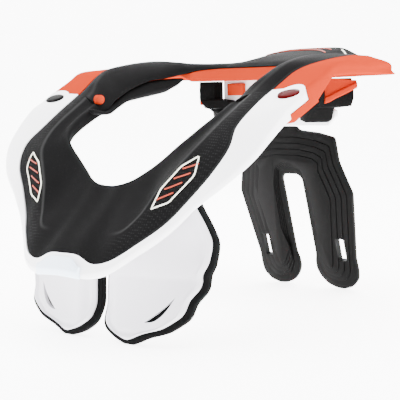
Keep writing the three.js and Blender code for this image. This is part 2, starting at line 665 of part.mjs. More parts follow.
// The hard shell on the slanted face of a wing: upright sections along the face, with a thick lower lip
const shellRows = table('t low high', [
  [0.115, 0.43, 1], [0.25, 0.47, 1], [0.4, 0.54, 1], [0.6, 0.61, 0.98], [0.8, 0.69, 0.96], [1, 0.77, 0.95],
]);
function wingShellOutline(row) {
  const wall = shellThickness * 0.7;
  const lip = 2.8;
  const browTop = Math.min(row.low + 0.13, row.high - 0.06);
  const middle = (browTop + row.high) / 2;
  const at = (inset, height) => {
    const p = along(mix(faceStart, faceEnd, row.t), faceOut, -inset);
    return vec(p.x, p.y, wingBase + height * wingTall);
  };
  return [
    at(lip + wall, row.high), at(lip + wall, middle), at(lip + wall, browTop), at(lip + wall, row.low),
    at(1.2, row.low), at(0.4, row.low + 0.03), at(0.4, browTop), at(lip, browTop + 0.03),
    at(lip, middle + 0.01), at(lip, row.high),
  ];
}
const wingBed = wingPad.add(wingPad.translate(faceOut.x * clearance, faceOut.y * clearance, 0));
const wingShell = toSolid(loft(shellRows.map(wingShellOutline))).subtract(wingBed);

// Back strut: half outline from the top down the outer side and up the fork
const strutRows = table('x z', [
  [0.24, 1.013], [0.27, 0.99], [0.6, 0.975], [0.86, 0.947], [0.86, 0.8], [0.93, 0.7], [1, 0.61], [0.93, 0.4],
  [0.86, 0.2], [0.87, 0.126], [0.85, 0.07], [0.74, 0.02], [0.58, 0], [0.44, 0.005], [0.3, 0.03],
  [0.2, 0.075],
]);
function strutGeometry() {
  const rise = 1 / Math.cos(rad(strutLean));
  const half = strutRows.map((row) => [row.x * strutHalfWidth, row.z * strutHeight * rise]);
  const fork = [
    [forkHalfGap - 2, strutHeight * 0.12 * rise], [forkHalfGap - 2, strutHeight * 0.17 * rise],
    [forkHalfGap, strutHeight * 0.22 * rise],
    [forkHalfGap, (forkTop - 4) * rise], [forkHalfGap - 4, forkTop * rise],
  ];
  const side = [...half, ...fork];
  const outline = [...side, ...side.slice().reverse().map(([x, z]) => [-x, z])];
  const slotX = strutHalfWidth * 0.6;
  const slotZ = strutHeight * 0.19 * rise;
  const [slotEnd, slotTop] = [slotX + legSlotWidth, slotZ + legSlotLength];
  const slot = [[slotX, slotZ], [slotEnd, slotZ], [slotEnd, slotTop], [slotX, slotTop]];
  const holes = [slot, slot.map(([x, z]) => [-x, z])];
  const strut = prism(outline, strutThickness, holes);
  strut.rotateX(Math.PI / 2 + rad(strutLean));
  strut.translate(0, 0, -new THREE.Box3().setFromBufferAttribute(strut.attributes.position).min.z);
  const box = new THREE.Box3().setFromBufferAttribute(strut.attributes.position);
  strut.translate(0, strutTopY - box.min.y, 0);
  return strut;
}

// Assembly
const brace = new THREE.Group();
function place(name, shape, material) {
  const geometry = shape.isBufferGeometry ? shape : toGeometry(shape);
  const mesh = new THREE.Mesh(geometry, material);
  mesh.name = name;
  brace.add(mesh);
}
function placePair(name, shape, material) {
  const geometry = shape.isBufferGeometry ? shape : toGeometry(shape);
  place(`${name}_left`, geometry, material);
  place(`${name}_right`, mirrorX(geometry), material);
}

place('front_chassis', frontShell, white);
place('front_pad', frontPad, foam);
place('chin_cover', chinCover, smoke);
place('rear_chassis', rearShell, orange);
place('rear_pad', rearPad, foam);
place('hinge_pin_left', pin(-lugBottom + 0.5), red);
place('hinge_pin_right', mirrorX(toGeometry(pin(-lugDepth + 0.5))), jet);
place('latch_button', button, orange);
placePair('chest_plate', plate, white);
placePair('chest_pad', chestPad, foam);
placePair('arm_pad', armPad, foam);
place('strut_carrier', carrierSolid(), white);
place('strut_clip_left', clipGeometry(1), orange);
place('strut_clip_right', clipGeometry(-1), orange);
placePair('wing_pad', wingPad, black);
placePair('wing_shell', wingShell, orange);
place('back_strut', strutGeometry(), black);

// Origin at the middle of the footprint, on the floor
const extent = new THREE.Box3().setFromObject(brace);
brace.position.set(0, -(extent.min.y + extent.max.y) / 2, -extent.min.z);
brace.updateMatrixWorld(true);

export default brace;
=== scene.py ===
import math
import bpy
import bmesh
import numpy as np
from mathutils import Matrix, Vector


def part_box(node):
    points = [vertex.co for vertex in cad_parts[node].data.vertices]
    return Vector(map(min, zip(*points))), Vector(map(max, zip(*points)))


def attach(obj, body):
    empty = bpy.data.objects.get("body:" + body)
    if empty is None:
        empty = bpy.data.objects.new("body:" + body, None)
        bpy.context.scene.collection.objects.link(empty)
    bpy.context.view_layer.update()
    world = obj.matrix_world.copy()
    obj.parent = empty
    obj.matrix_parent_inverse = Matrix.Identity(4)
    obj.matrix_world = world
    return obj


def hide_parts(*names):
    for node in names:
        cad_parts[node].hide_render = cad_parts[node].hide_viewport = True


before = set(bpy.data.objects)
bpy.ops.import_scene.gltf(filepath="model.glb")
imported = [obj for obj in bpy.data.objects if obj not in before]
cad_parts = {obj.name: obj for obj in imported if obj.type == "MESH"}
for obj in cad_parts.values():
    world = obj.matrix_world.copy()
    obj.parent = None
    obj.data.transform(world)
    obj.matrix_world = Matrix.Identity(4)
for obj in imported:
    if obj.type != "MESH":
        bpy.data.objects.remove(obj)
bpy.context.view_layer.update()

mm = 0.001
brace = {"halfWidth": 139, "frontReach": 119, "rearReach": 238, "pinHeight": 184, "neckHalf": 70,
         "neckFront": 61, "neckRear": 137, "padThickness": 8, "padRoll": 11.6, "shell": 3, "gap": 0.3,
         "pinX": 125, "bandTilt": 24.5, "backShift": -59.927, "perSpan": 9}
far = 400.0  # past every piece
down = np.array([0, 0, -1.0])
upright = np.array([0, 0, 1.0])
ground = np.array([1, 1, 0])


# small tools for all pieces

def ease(v, low, high):
    # a smooth step from 0 at low to 1 at high
    t = np.clip((np.asarray(v, float) - low) / (high - low), 0, 1)
    return t * t * (3 - 2 * t)


def unit(v):
    # each vector divided by its own length
    return v / np.maximum(np.linalg.norm(v, axis=-1, keepdims=True), 1e-9)


def curveThrough(half, s):
    # a smooth curve through the rows and their mirror images: each span is a cubic whose ends point along
    # the chords of its neighbours, weighted by the square roots of their lengths
    full = np.vstack([half[:0:-1] * [-1, 1, 1], half])
    ends = np.vstack([2 * full[0] - full[1], full, 2 * full[-1] - full[-2]])
    t = np.clip(s + len(half) - 1, 0, len(full) - 1 - 1e-9)
    i = t.astype(int)
    w = (t - i)[:, None]
    p0, p1, p2, p3 = (ends[i + k] for k in range(4))
    d0, d1, d2 = (np.linalg.norm(b - a, axis=1)[:, None] ** 0.5 for a, b in ((p0, p1), (p1, p2), (p2, p3)))
    m1 = d1 * ((p1 - p0) / d0 - (p2 - p0) / (d0 + d1) + (p2 - p1) / d1)
    m2 = d1 * ((p2 - p1) / d1 - (p3 - p1) / (d1 + d2) + (p3 - p2) / d2)
    return (2 * p1 - 2 * p2 + m1 + m2) * w ** 3 + (3 * p2 - 3 * p1 - 2 * m1 - m2) * w ** 2 + m1 * w + p1


def roundCorners(outline, radius, steps=3):
    # every corner turns into a short parabola that starts and ends a radius away from it
    before = np.roll(outline, 1, axis=1) - outline
    after = np.roll(outline, -1, axis=1) - outline
    lb = np.linalg.norm(before, axis=2, keepdims=True) + 1e-9
    la = np.linalg.norm(after, axis=2, keepdims=True) + 1e-9
    r = np.asarray(radius, float)[None, :, None]
    a = outline + before / lb * np.minimum(r, lb * 0.48)
    b = outline + after / la * np.minimum(r, la * 0.48)
    arcs = [(1 - q) ** 2 * a + 2 * q * (1 - q) * outline + q * q * b for q in np.linspace(0, 1, steps + 1)]
    return np.stack(arcs, axis=2).reshape(len(outline), -1, 3)


def newMesh(name, verts, faces, smooth=True, angle=42):
    # points in mm become a mesh in metres, with doubles merged and faces turned outwards
    mesh = bpy.data.meshes.new(name)
    mesh.from_pydata((np.asarray(verts) * mm).tolist(), [], faces)
    bm = bmesh.new()
    bm.from_mesh(mesh)
    bmesh.ops.remove_doubles(bm, verts=bm.verts, dist=2e-6)
    bmesh.ops.recalc_face_normals(bm, faces=bm.faces)
    bm.to_mesh(mesh)
    bm.free()
    obj = bpy.data.objects.new(name, mesh)
    bpy.context.scene.collection.objects.link(obj)
    if smooth:
        soften(obj, angle)
    return obj


def soften(obj, angle=42):
    # smooth shading, broken where two faces meet at more than the angle
    obj.data.polygons.foreach_set("use_smooth", np.ones(len(obj.data.polygons), bool))
    obj.data.set_sharp_from_angle(angle=math.radians(angle))


def loft(name, rings, shift=True, **how):
    # a closed tube of rings of points, shut by one flat face at each end
    n, m, _ = rings.shape
    index = np.arange(n * m).reshape(n, m)
    a, b = index[:-1], np.roll(index[:-1], -1, axis=1)
    c, d = np.roll(index[1:], -1, axis=1), index[1:]
    quads = np.stack([a, b, c, d], axis=-1).reshape(-1, 4).tolist()
    verts = rings.reshape(-1, 3) + ([0, brace["backShift"], 0] if shift else [0, 0, 0])
    return newMesh(name, verts, quads + [index[0].tolist(), index[-1][::-1].tolist()], **how)


def prism(name, ring, heights, shift=True):
    # a flat outline carried straight up from the first height to the last
    rings = np.stack([np.column_stack([ring, np.full(len(ring), z)]) for z in heights])
    return loft(name, rings, shift=shift, smooth=False)


def settle(obj):
    # puts what the modifiers make into the mesh
    graph = bpy.context.evaluated_depsgraph_get()
    mesh = bpy.data.meshes.new_from_object(obj.evaluated_get(graph))
    obj.modifiers.clear()
    obj.data = mesh


def cut(obj, tool, how="DIFFERENCE"):
    # one boolean step with a tool that is used up by it
    step = obj.modifiers.new("cut", "BOOLEAN")
    step.operation, step.object, step.solver = how, tool, "EXACT"
    settle(obj)
    bpy.data.objects.remove(tool)


def joined(name, parts):
    # one mesh out of several, which are used up
    bm = bmesh.new()
    for part in parts:
        bm.from_mesh(part.data)
        bpy.data.objects.remove(part)
    mesh = bpy.data.meshes.new(name)
    bm.to_mesh(mesh)
    bm.free()
    obj = bpy.data.objects.new(name, mesh)
    bpy.context.scene.collection.objects.link(obj)
    soften(obj)
    return obj


def mirrored(obj, name):
    # a copy with x changed in sign, its faces turned back outwards
    mesh = obj.data.copy()
    mesh.transform(Matrix.Scale(-1, 4, (1, 0, 0)))
    mesh.flip_normals()
    copy = bpy.data.objects.new(name, mesh)
    bpy.context.scene.collection.objects.link(copy)
    return copy


def finished(obj, material, slot, body, *nodes):
    # material and body of a piece, and the solids that it replaces; the slot is not used
    obj.data.materials.clear()
    obj.data.materials.append(material)
    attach(obj, body)
    if nodes:
        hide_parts(*nodes)
    return obj


def pinFrame():
    # the left pin's axis: up and tilted forward, square to the band
    tilt = math.radians(brace["bandTilt"])
    place = Matrix.Translation(Vector((brace["pinX"], brace["backShift"], brace["pinHeight"])) * mm)
    return place @ Matrix.Rotation(tilt, 4, "X")


def pinPrism(name, outline, low, high, side=1):
    # an upright slab of a flat outline, turned onto the pin's axis
    obj = prism(name, outline, (low, high), shift=False)
    obj.data.transform(pinFrame())
    if side < 0:
        obj.data.transform(Matrix.Scale(-1, 4, (1, 0, 0)))
        obj.data.flip_normals()
    return obj


def disc(rx, ry=None, count=64):
    # an oval: cosine and sine of even angles times its two radii
    t = np.linspace(0, 2 * np.pi, count, endpoint=False)
    return np.column_stack([rx * np.cos(t), (ry or rx) * np.sin(t)])


def rectangle(halfWide, low, high):
    # four corners, the same distance to both sides of the middle
    return np.array([[-halfWide, low], [halfWide, low], [halfWide, high], [-halfWide, high]])


# materials

def node(tree, kind, **values):
    # a new shader node with the given inputs and settings
    made = tree.nodes.new(kind)
    for key, value in values.items():
        if key in made.inputs:
            made.inputs[key].default_value = value
        else:
            setattr(made, key, value)
    return made


def makeGroup(name, ins, outs):
    # an empty shader group with named sockets, and the nodes at its two ends
    group = bpy.data.node_groups.new(name, "ShaderNodeTree")
    for label, kind, value in ins:
        made = group.interface.new_socket(name=label, in_out="INPUT", socket_type=kind)
        if value is not None:
            made.default_value = value
    for label, kind in outs:
        group.interface.new_socket(name=label, in_out="OUTPUT", socket_type=kind)
    return group, group.nodes.new("NodeGroupInput"), group.nodes.new("NodeGroupOutput")


def skinGroup():
    # moulded skin: broad noise shifts colour and shine, fine noise is its grain, round dots rise where Flank
    # is high, and the colour turns into a paler one, a painted highlight, where the highlight input is high
    vector, tone, number = "NodeSocketVector", "NodeSocketColor", "NodeSocketFloat"
    ins = [("Vector", vector, None), ("Scale", number, 900.0), ("Colour", tone, None),
           ("Highlight colour", tone, None), ("Drift", number, 0.1), ("Rough", number, 0.5),
           ("Painted highlight", number, 0.0), ("Flank", number, 0.0)]
    outs = [("Colour", tone), ("Rough", number), ("Height", number)]
    group, given, out = makeGroup("mouldedSkin", ins, outs)
    link = group.links.new
    fine = node(group, "ShaderNodeTexNoise", Detail=3.0, Roughness=0.6)
    broad = node(group, "ShaderNodeTexNoise", Scale=22.0, Detail=2.0)
    cells = node(group, "ShaderNodeTexVoronoi", Scale=520.0, Randomness=0.15)
    for texture in (fine, broad, cells):
        link(given.outputs["Vector"], texture.inputs["Vector"])
    link(given.outputs["Scale"], fine.inputs["Scale"])
    # colour and shine drift with the broad noise
    swing = node(group, "ShaderNodeMath", operation="SUBTRACT")
    swing.inputs[1].default_value = 0.5
    link(broad.outputs["Fac"], swing.inputs[0])
    amount = node(group, "ShaderNodeMath", operation="MULTIPLY")
    link(swing.outputs[0], amount.inputs[0])
    link(given.outputs["Drift"], amount.inputs[1])
    gain = node(group, "ShaderNodeMath", operation="ADD")
    gain.inputs[1].default_value = 1.0
    link(amount.outputs[0], gain.inputs[0])
    tint = node(group, "ShaderNodeVectorMath", operation="SCALE")
    link(given.outputs["Colour"], tint.inputs[0])
    link(gain.outputs[0], tint.inputs["Scale"])
    shine = node(group, "ShaderNodeMath", operation="ADD")
    link(given.outputs["Rough"], shine.inputs[0])
    link(amount.outputs[0], shine.inputs[1])
    link(shine.outputs[0], out.inputs["Rough"])
    # dots on the flanks
    spot = node(group, "ShaderNodeMapRange", interpolation_type="SMOOTHSTEP")
    for label, value in (("From Min", 0.42), ("From Max", 0.22), ("To Min", 0.0), ("To Max", 1.0)):
        spot.inputs[label].default_value = value
    link(cells.outputs["Distance"], spot.inputs["Value"])
    masked = node(group, "ShaderNodeMath", operation="MULTIPLY")
    link(spot.outputs["Result"], masked.inputs[0])
    link(given.outputs["Flank"], masked.inputs[1])
    brighter = node(group, "ShaderNodeMath", operation="MULTIPLY_ADD")
    brighter.inputs[1].default_value, brighter.inputs[2].default_value = 1.6, 1.0
    link(masked.outputs[0], brighter.inputs[0])
    dotted = node(group, "ShaderNodeVectorMath", operation="SCALE")
    link(tint.outputs[0], dotted.inputs[0])
    link(brighter.outputs[0], dotted.inputs["Scale"])
    total = node(group, "ShaderNodeMath", operation="ADD")
    link(fine.outputs["Fac"], total.inputs[0])
    link(masked.outputs[0], total.inputs[1])
    link(total.outputs[0], out.inputs["Height"])
    # painted highlight: the colour turns paler along the crests of rounded corners
    highlighted = node(group, "ShaderNodeMix", data_type="RGBA")
    link(given.outputs["Painted highlight"], highlighted.inputs["Factor"])
    link(dotted.outputs[0], highlighted.inputs["A"])
    link(given.outputs["Highlight colour"], highlighted.inputs["B"])
    link(highlighted.outputs["Result"], out.inputs["Colour"])
    return group


skin = skinGroup()


def moulded(name, color, rough, coat=0.0, grainScale=900.0, bump=0.1, drift=0.1, edge=None, dotted=False,
            specular=0.5):
    # plastic, foam or rubber from the shared skin, with a painted highlight in a paler colour where the
    # piece's highlight attribute is high
    material = bpy.data.materials.new(name)
    material.use_nodes = True
    tree = material.node_tree
    link = tree.links.new
    shader = tree.nodes["Principled BSDF"]
    for label, value in (("Coat Weight", coat), ("Coat Roughness", 0.15), ("Specular IOR Level", specular)):
        shader.inputs[label].default_value = value
    place = tree.nodes.new("ShaderNodeTexCoord")
    surface = tree.nodes.new("ShaderNodeGroup")
    surface.node_tree = skin
    for label, value in (("Scale", grainScale), ("Drift", drift), ("Rough", rough), ("Colour", (*color, 1)),
                         ("Highlight colour", (*(edge or color), 1))):
        surface.inputs[label].default_value = value
    link(place.outputs["Object"], surface.inputs["Vector"])
    # edge is the paler colour of the painted highlight along the crests
    if edge:
        link(node(tree, "ShaderNodeAttribute", attribute_name="paintedHighlight").outputs["Fac"], surface.inputs["Painted highlight"])
    if dotted:
        link(node(tree, "ShaderNodeAttribute", attribute_name="flank").outputs["Fac"],
             surface.inputs["Flank"])
    link(surface.outputs["Colour"], shader.inputs["Base Color"])
    link(surface.outputs["Rough"], shader.inputs["Roughness"])
    relief = node(tree, "ShaderNodeBump", Strength=bump, Distance=0.0006)
    link(surface.outputs["Height"], relief.inputs["Height"])
    link(relief.outputs["Normal"], shader.inputs["Normal"])
    return material


whitePlastic = moulded("whitePlastic", (0.95, 0.94, 0.96), 0.34, 0.2, 500, 0.03, 0.02)
# the chest plates are the shell's white plastic, made darker and lavender grey as painted shade for the shade
# that lies on them under the rim
shadedPlatePlastic = moulded("shadedPlatePlastic", (0.6, 0.585, 0.62), 0.34, 0.1, 500, 0.03, 0.02, specular=0.4)
orangePlastic = moulded("orangePlastic", (0.3, 0.024, 0.007), 0.45, 0.0, 500, 0.03, 0.06, specular=0.0)
# for tableFoam, wingRubber and strutPlastic, the pale grey after the drift is the colour of a painted
# highlight along the crests
tableFoam = moulded("tableFoam", (0.0035, 0.0035, 0.0036), 0.8, 0.0, 1400, 0.3, 0.25, (0.022,) * 3, True,
                    0.03)
wingRubber = moulded("wingRubber", (0.0025,) * 3, 0.7, 0.0, 1100, 0.2, 0.2, (0.02,) * 3, specular=0.03)
strutPlastic = moulded("strutPlastic", (0.0012,) * 3, 0.5, 0.0, 1200, 0.12, 0.2, (0.01,) * 3, specular=0.045)
coverPlastic = moulded("coverPlastic", (0.72, 0.84, 0.97), 0.2, 0.6, 300, 0.01, 0.02)
redCap = moulded("redCap", (0.045, 0.0005, 0.001), 0.3, 0.0, 300, 0.02, 0.5, specular=0.01)
blackCap = moulded("blackCap", (0.003, 0.003, 0.003), 0.4, 0.0, 300, 0.02, 0.1, specular=0.01)
orangeLine = moulded("orangeLine", (0.27, 0.024, 0.006), 0.5, 0.0, 700, 0.05, 0.1, specular=0.3)
creamLine = moulded("creamLine", (0.85, 0.85, 0.72), 0.5, 0.0, 700, 0.05, 0.05, specular=0.3)
print("materials made")


# collar lines, as in the frame's solids

frontTable = np.array([
    [0, -0.984, 0.647, 0, -0.756, 0.478, 0, -0.941, 0.386, 0, -0.996, 0.332, 0.033],
    [0.171, -1, 0.655, 0.115, -0.756, 0.484, 0.101, -0.941, 0.383, 0.101, -0.996, 0.329, 0.033],
    [0.314, -0.951, 0.674, 0.216, -0.807, 0.467, 0.209, -0.941, 0.353, 0.194, -0.983, 0.326, 0.034],
    [0.429, -0.893, 0.701, 0.302, -0.798, 0.473, 0.309, -0.912, 0.367, 0.317, -0.933, 0.348, 0.034],
    [0.543, -0.844, 0.731, 0.374, -0.71, 0.538, 0.432, -0.807, 0.435, 0.45, -0.811, 0.424, 0.034],
    [0.671, -0.803, 0.769, 0.432, -0.63, 0.63, 0.54, -0.689, 0.511, 0.576, -0.702, 0.505, 0.034],
    [0.8, -0.762, 0.81, 0.504, -0.563, 0.709, 0.647, -0.597, 0.611, 0.705, -0.622, 0.603, 0.036],
    [0.9, -0.689, 0.845, 0.568, -0.496, 0.777, 0.741, -0.525, 0.707, 0.849, -0.538, 0.696, 0.04],
    [0.964, -0.541, 0.883, 0.604, -0.387, 0.84, 0.777, -0.42, 0.796, 0.942, -0.416, 0.788, 0.046],
    [0.993, -0.361, 0.916, 0.619, -0.261, 0.897, 0.741, -0.294, 0.872, 0.971, -0.277, 0.878, 0.058],
    [1, -0.164, 0.948, 0.626, -0.126, 0.948, 0.737, -0.143, 0.938, 0.982, -0.143, 0.951, 0.07],
    [1, 0, 0.973, 0.633, 0, 0.995, 0.741, 0, 0.992, 0.986, 0, 1, 0.078],
    [1.01, 0.262, 1.003, 0.651, 0.134, 1.054, 0.755, 0.134, 1.037, 0.99, 0.134, 1.058, 0.08]])
rearTable = np.array([
    [0, 1, 1.13, 0, 0.94, 1.228, 0, 0.968, 1.165, 0, 1, 1.083, 1.076],
    [0.257, 1, 1.13, 0.225, 0.928, 1.22, 0.31, 0.945, 1.16, 0.331, 0.972, 1.087, 1.076],
    [0.514, 0.989, 1.13, 0.395, 0.83, 1.16, 0.555, 0.835, 1.147, 0.6, 0.872, 1.1, 1.076],
    [0.743, 0.956, 1.128, 0.496, 0.672, 1.148, 0.683, 0.71, 1.152, 0.763, 0.756, 1.122, 1.076],
    [0.914, 0.891, 1.12, 0.554, 0.571, 1.155, 0.77, 0.597, 1.158, 0.871, 0.622, 1.13, 1.076],
    [0.993, 0.796, 1.103, 0.59, 0.487, 1.165, 0.835, 0.508, 1.16, 0.935, 0.5, 1.128, 1.076],
    [1.029, 0.642, 1.084, 0.626, 0.391, 1.171, 0.856, 0.391, 1.158, 0.982, 0.387, 1.125, 1.076],
    [1.029, 0.482, 1.071, 0.655, 0.286, 1.16, 0.835, 0.269, 1.139, 0.996, 0.277, 1.128, 1.074],
    [1.029, 0.299, 1.03, 0.694, 0.172, 1.136, 0.795, 0.176, 1.111, 0.998, 0.172, 1.115, 1.066],
    [1.029, 0.226, 1.005, 0.691, 0.13, 1.114, 0.773, 0.13, 1.087, 0.996, 0.13, 1.084, 1.02],
    [1.014, 0.146, 0.978, 0.669, 0.084, 1.076, 0.759, 0.084, 1.052, 0.993, 0.084, 1.054, 0.966],
    [1, 0.066, 0.932, 0.633, 0.038, 1.024, 0.748, 0.038, 1.016, 0.986, 0.038, 1.024, 0.93],
    [1, -0.08, 0.895, 0.626, -0.05, 0.953, 0.737, -0.05, 0.945, 0.984, -0.05, 0.957, 0.885]])


def collarLines(rows, reach, neckReach, s):
    # neck edge, ridge, pad edge and rim as curves over s, with the directions that a section is built on
    neckScale = np.array([brace["neckHalf"], neckReach, brace["pinHeight"]])
    scale = [neckScale] + [np.array([brace["halfWidth"], reach, brace["pinHeight"]])] * 3
    neck, ridge, edge, rim = (curveThrough(rows[:, 3 * k:3 * k + 3] * scale[k], s) for k in range(4))
    across = unit(edge - neck)
    run = np.gradient(ridge, axis=0)
    up = unit(np.cross(run, across))
    up = up * np.where(up[:, 2:] < 0, -1, 1)
    value = np.interp(np.abs(s), np.arange(len(rows)), rows[:, 12]) * brace["pinHeight"]
    return {"s": s, "neck": neck, "ridge": ridge, "edge": edge, "rim": rim, "across": across, "up": up,
            "out": unit((rim - edge) * ground), "away": unit((ridge - neck) * ground),
            "value": value[:, None]}


span = np.linspace(-12, 12, 24 * brace["perSpan"] + 1)
front = collarLines(frontTable, brace["frontReach"], brace["neckFront"], span)
rear = collarLines(rearTable, brace["rearReach"], brace["neckRear"], span)


def flattened(g):
    # behind the chin the table runs straight from the neck to its front edge, with no crest
    line = g["edge"] - g["neck"]
    along = np.sum((g["ridge"] - g["neck"]) * line, axis=1, keepdims=True)
    share = along / np.sum(line * line, axis=1, keepdims=True)
    amount = 1 - ease(np.abs(g["s"]), 1.0, 3.0)[:, None]
    return g["ridge"] + (g["neck"] + line * share - g["ridge"]) * amount


front["ridge"] = flattened(front)


def zonePrism(name, grow, lug=13.0):
    # all in front of the joint between the halves, with the white half's round ends over the pins
    seam = {"inner": -5.0, "outer": 8.0}
    slope = 1 / math.cos(math.radians(brace["bandTilt"]))
    edgeX = frontTable[-1, 6] * brace["halfWidth"]
    r = lug + grow
    high = (seam["outer"] + grow) * slope
    turn = np.linspace(0, np.pi - math.asin(min(high / r, 1)), 24)
    arc = np.column_stack([brace["pinX"] + r * np.cos(turn), np.maximum(r * np.sin(turn), grow * slope)])
    half = np.vstack([[[far, -far], [far, grow * slope]], arc,
                      [[edgeX, high], [brace["neckHalf"] - 2, (seam["inner"] + grow) * slope]]])
    ring = np.vstack([half, half[::-1] * [-1, 1]])
    return pinPrism(name, ring - [brace["pinX"], 0], -260.0, 160.0)


def paint(obj, name, values):
    # stores one number per point, or none where the mesh has lost points
    layer = obj.data.attributes.new(name, "FLOAT", "POINT")
    if len(values) == len(obj.data.vertices):
        layer.data.foreach_set("value", np.asarray(values, np.float32))


crisp = np.array([0, 0.55, 1, 0.55, 0])  # how the painted highlight line fades over the five points of a corner


def padMarks(g, paintedHighlight, flank, calm=(2.0, 3.6)):
    # the painted highlight line sits on the crest of a rounded corner and fades out towards the middle of the
    # brace
    mask = ease(np.abs(g["s"]), *calm)[:, None]
    return (mask * np.outer(paintedHighlight, crisp).ravel()).ravel(), (mask * np.repeat(flank, 5)).ravel()


# front half

frontSet = {"dish": 3.0, "lip": 5.0, "rimWall": 4.0}


def frontPadRings(g):
    # a dished table that rolls down into the neck hole and has a crisp ridge before its outer flank
    t, lip = brace["padThickness"], frontSet["lip"]
    dish = frontSet["dish"] * (0.3 + 0.7 * ease(np.abs(g["s"]), 1.5, 4.5))[:, None]
    middle = (g["neck"] + g["ridge"]) / 2 - g["up"] * dish
    inner = g["neck"] + g["across"] * lip
    points = [g["neck"] + down * brace["padRoll"] + g["away"] * 0.6, g["neck"] + down * 3 - g["away"] * 0.4,
              g["neck"] + g["across"] * 3, middle, g["ridge"], (g["ridge"] + g["edge"]) / 2 + g["up"] * 0.8,
              g["edge"] - g["out"] * 0.6, g["edge"] - g["up"] * 2.2, g["edge"] - g["up"] * t,
              g["ridge"] - g["up"] * t, middle - g["up"] * t, inner + down * (t + 0.2),
              inner + down * brace["padRoll"]]
    radii = [1.5, 3.5, 3, 14, 2.4, 6, 1.4, 1, 1, 6, 10, 1, 1.5]
    return roundCorners(np.stack(points, axis=1), radii, 4)


frontPad = loft("frontPad", frontPadRings(front), angle=60)
# a painted highlight along the top of the neck's lip, the ridge and the pad's edge, then where the flank's
# dots lie
frontMarks = {"paintedHighlight": [0, 0, 0.15, 0, 0.8, 0, 0.5] + [0] * 6, "flank": [0, 0, 0, 0, 0.2, 1, 0.6] + [0] * 6}
highlightLine, flankZone = padMarks(front, **frontMarks)
paint(frontPad, "paintedHighlight", highlightLine)
paint(frontPad, "flank", flankZone)
cut(frontPad, zonePrism("seamTool", -0.15), "INTERSECT")
soften(frontPad, 60)
finished(frontPad, tableFoam, "table_foam", "front_half", "front_pad")
print("front padding", len(frontPad.data.polygons))


def frontShellRings(g):
    # the tray under the padding, its band outside the padding and the turned-down rim
    t, gap, wall = brace["padThickness"], brace["gap"], brace["shell"]
    under = t + gap
    dish = frontSet["dish"] * (0.3 + 0.7 * ease(np.abs(g["s"]), 1.5, 4.5))[:, None]
    middle = (g["neck"] + g["ridge"]) / 2 - g["up"] * (dish + under)
    inner = g["neck"] + g["across"] * (frontSet["lip"] + 0.6) + down * (under + 0.6)
    beside = g["edge"] + g["out"] * gap
    foot = g["rim"] + down * g["value"] - g["out"]
    points = [inner, middle, g["ridge"] - g["up"] * under, beside - g["up"] * under, beside,
              g["rim"] - g["out"] * 1.6, g["rim"] + down * 1.6, foot, foot - g["out"] * frontSet["rimWall"],
              g["edge"] - g["up"] * (under + wall), g["ridge"] - g["up"] * (under + wall),
              middle - g["up"] * wall, inner + down * wall]
    radii = [0.5, 8, 5, 0.5, 0.7, 3.0, 3.0, 1.6, 1.2, 3, 5, 8, 0.8]
    return roundCorners(np.stack(points, axis=1), radii, 4)


frontShell = loft("frontShell", frontShellRings(front), angle=50)
cut(frontShell, zonePrism("seamTool", 0.0), "INTERSECT")
capSet = {"long": 9.2, "wide": 6.7, "seat": 1.8, "room": 0.4, "proud": 0.3, "dome": 0.8}
for side in (1, -1):
    cut(frontShell, pinPrism("lugTool", disc(21.5), -100, -8, side))
    seat = disc(capSet["long"] + capSet["room"], capSet["wide"] + capSet["room"])
    cut(frontShell, pinPrism("seatTool", seat, -capSet["seat"], 60, side))
soften(frontShell, 50)
finished(frontShell, whitePlastic, "white_shell", "front_half", "front_chassis")
print("front shell", len(frontShell.data.polygons))


def pinCap(name):
    # an oval button with a domed top and a rounded edge, on the pin's axis
    t = np.linspace(0, 1, 10)
    side = -capSet["seat"] + 0.3 + (capSet["seat"] + capSet["proud"]) * np.sin(t * np.pi / 2)
    height = np.concatenate([[-8.0], side])
    size = np.concatenate([[1.0], 0.9 + 0.1 * np.cos(t * np.pi / 2)])
    inner = np.linspace(0.85, 0.04, 8)
    height = np.concatenate([height, capSet["proud"] + 0.3 + capSet["dome"] * (1 - inner ** 2) * 0.5])
    size = np.concatenate([size, inner])
    ring = disc(capSet["long"], capSet["wide"], 56)
    rings = np.stack([np.column_stack([ring * k, np.full(len(ring), h)]) for h, k in zip(height, size)])
    obj = loft(name, rings, shift=False, angle=50)
    obj.data.transform(pinFrame())
    return obj


leftCap = pinCap("pinCapLeft")
rightCap = mirrored(leftCap, "pinCapRight")
finished(leftCap, redCap, "red_cap", "front_half", "hinge_pin_left")
finished(rightCap, blackCap, "black_cap", "front_half", "hinge_pin_right")


coverSet = {"span": 1.66, "wall": 2.4, "gap": 0.5}


def coverRings(g):
    # follows the rim's outside, low at its two ends and up over the crease in the middle
    gap, wall = coverSet["gap"], coverSet["wall"]
    forward, rise = g["out"], -down
    crease = g["rim"] + forward * gap
    share = 0.55 - 0.5 * ease(np.abs(g["s"]), 0.7, coverSet["span"])[:, None]
    top = g["rim"] + (g["edge"] - g["rim"]) * share + rise * (gap + 0.3)
    foot = g["rim"] + down * g["value"] + forward * (gap - 0.6)
    points = [top, crease + rise * 0.2, foot, foot + forward * (wall - 0.6), crease + down + forward * wall,
              crease + forward * wall * 0.5 + rise * wall * 0.7, top + forward * 0.6 + rise * wall * 0.8]
    return roundCorners(np.stack(points, axis=1), [0.6, 0.8, 0.6, 1.0, 3, 3, 1.0], 4)


coverSpan = np.linspace(-coverSet["span"], coverSet["span"], 41)
coverLines = collarLines(frontTable, brace["frontReach"], brace["neckFront"], coverSpan)
chinCover = loft("chinCover", coverRings(coverLines), angle=50)
finished(chinCover, coverPlastic, "clear_cover", "front_half", "chin_cover")


# rear half

rearSet = {"flare": 4.0, "tailFloor": 196.0, "rimWall": 4.0, "hollow": 2.6}


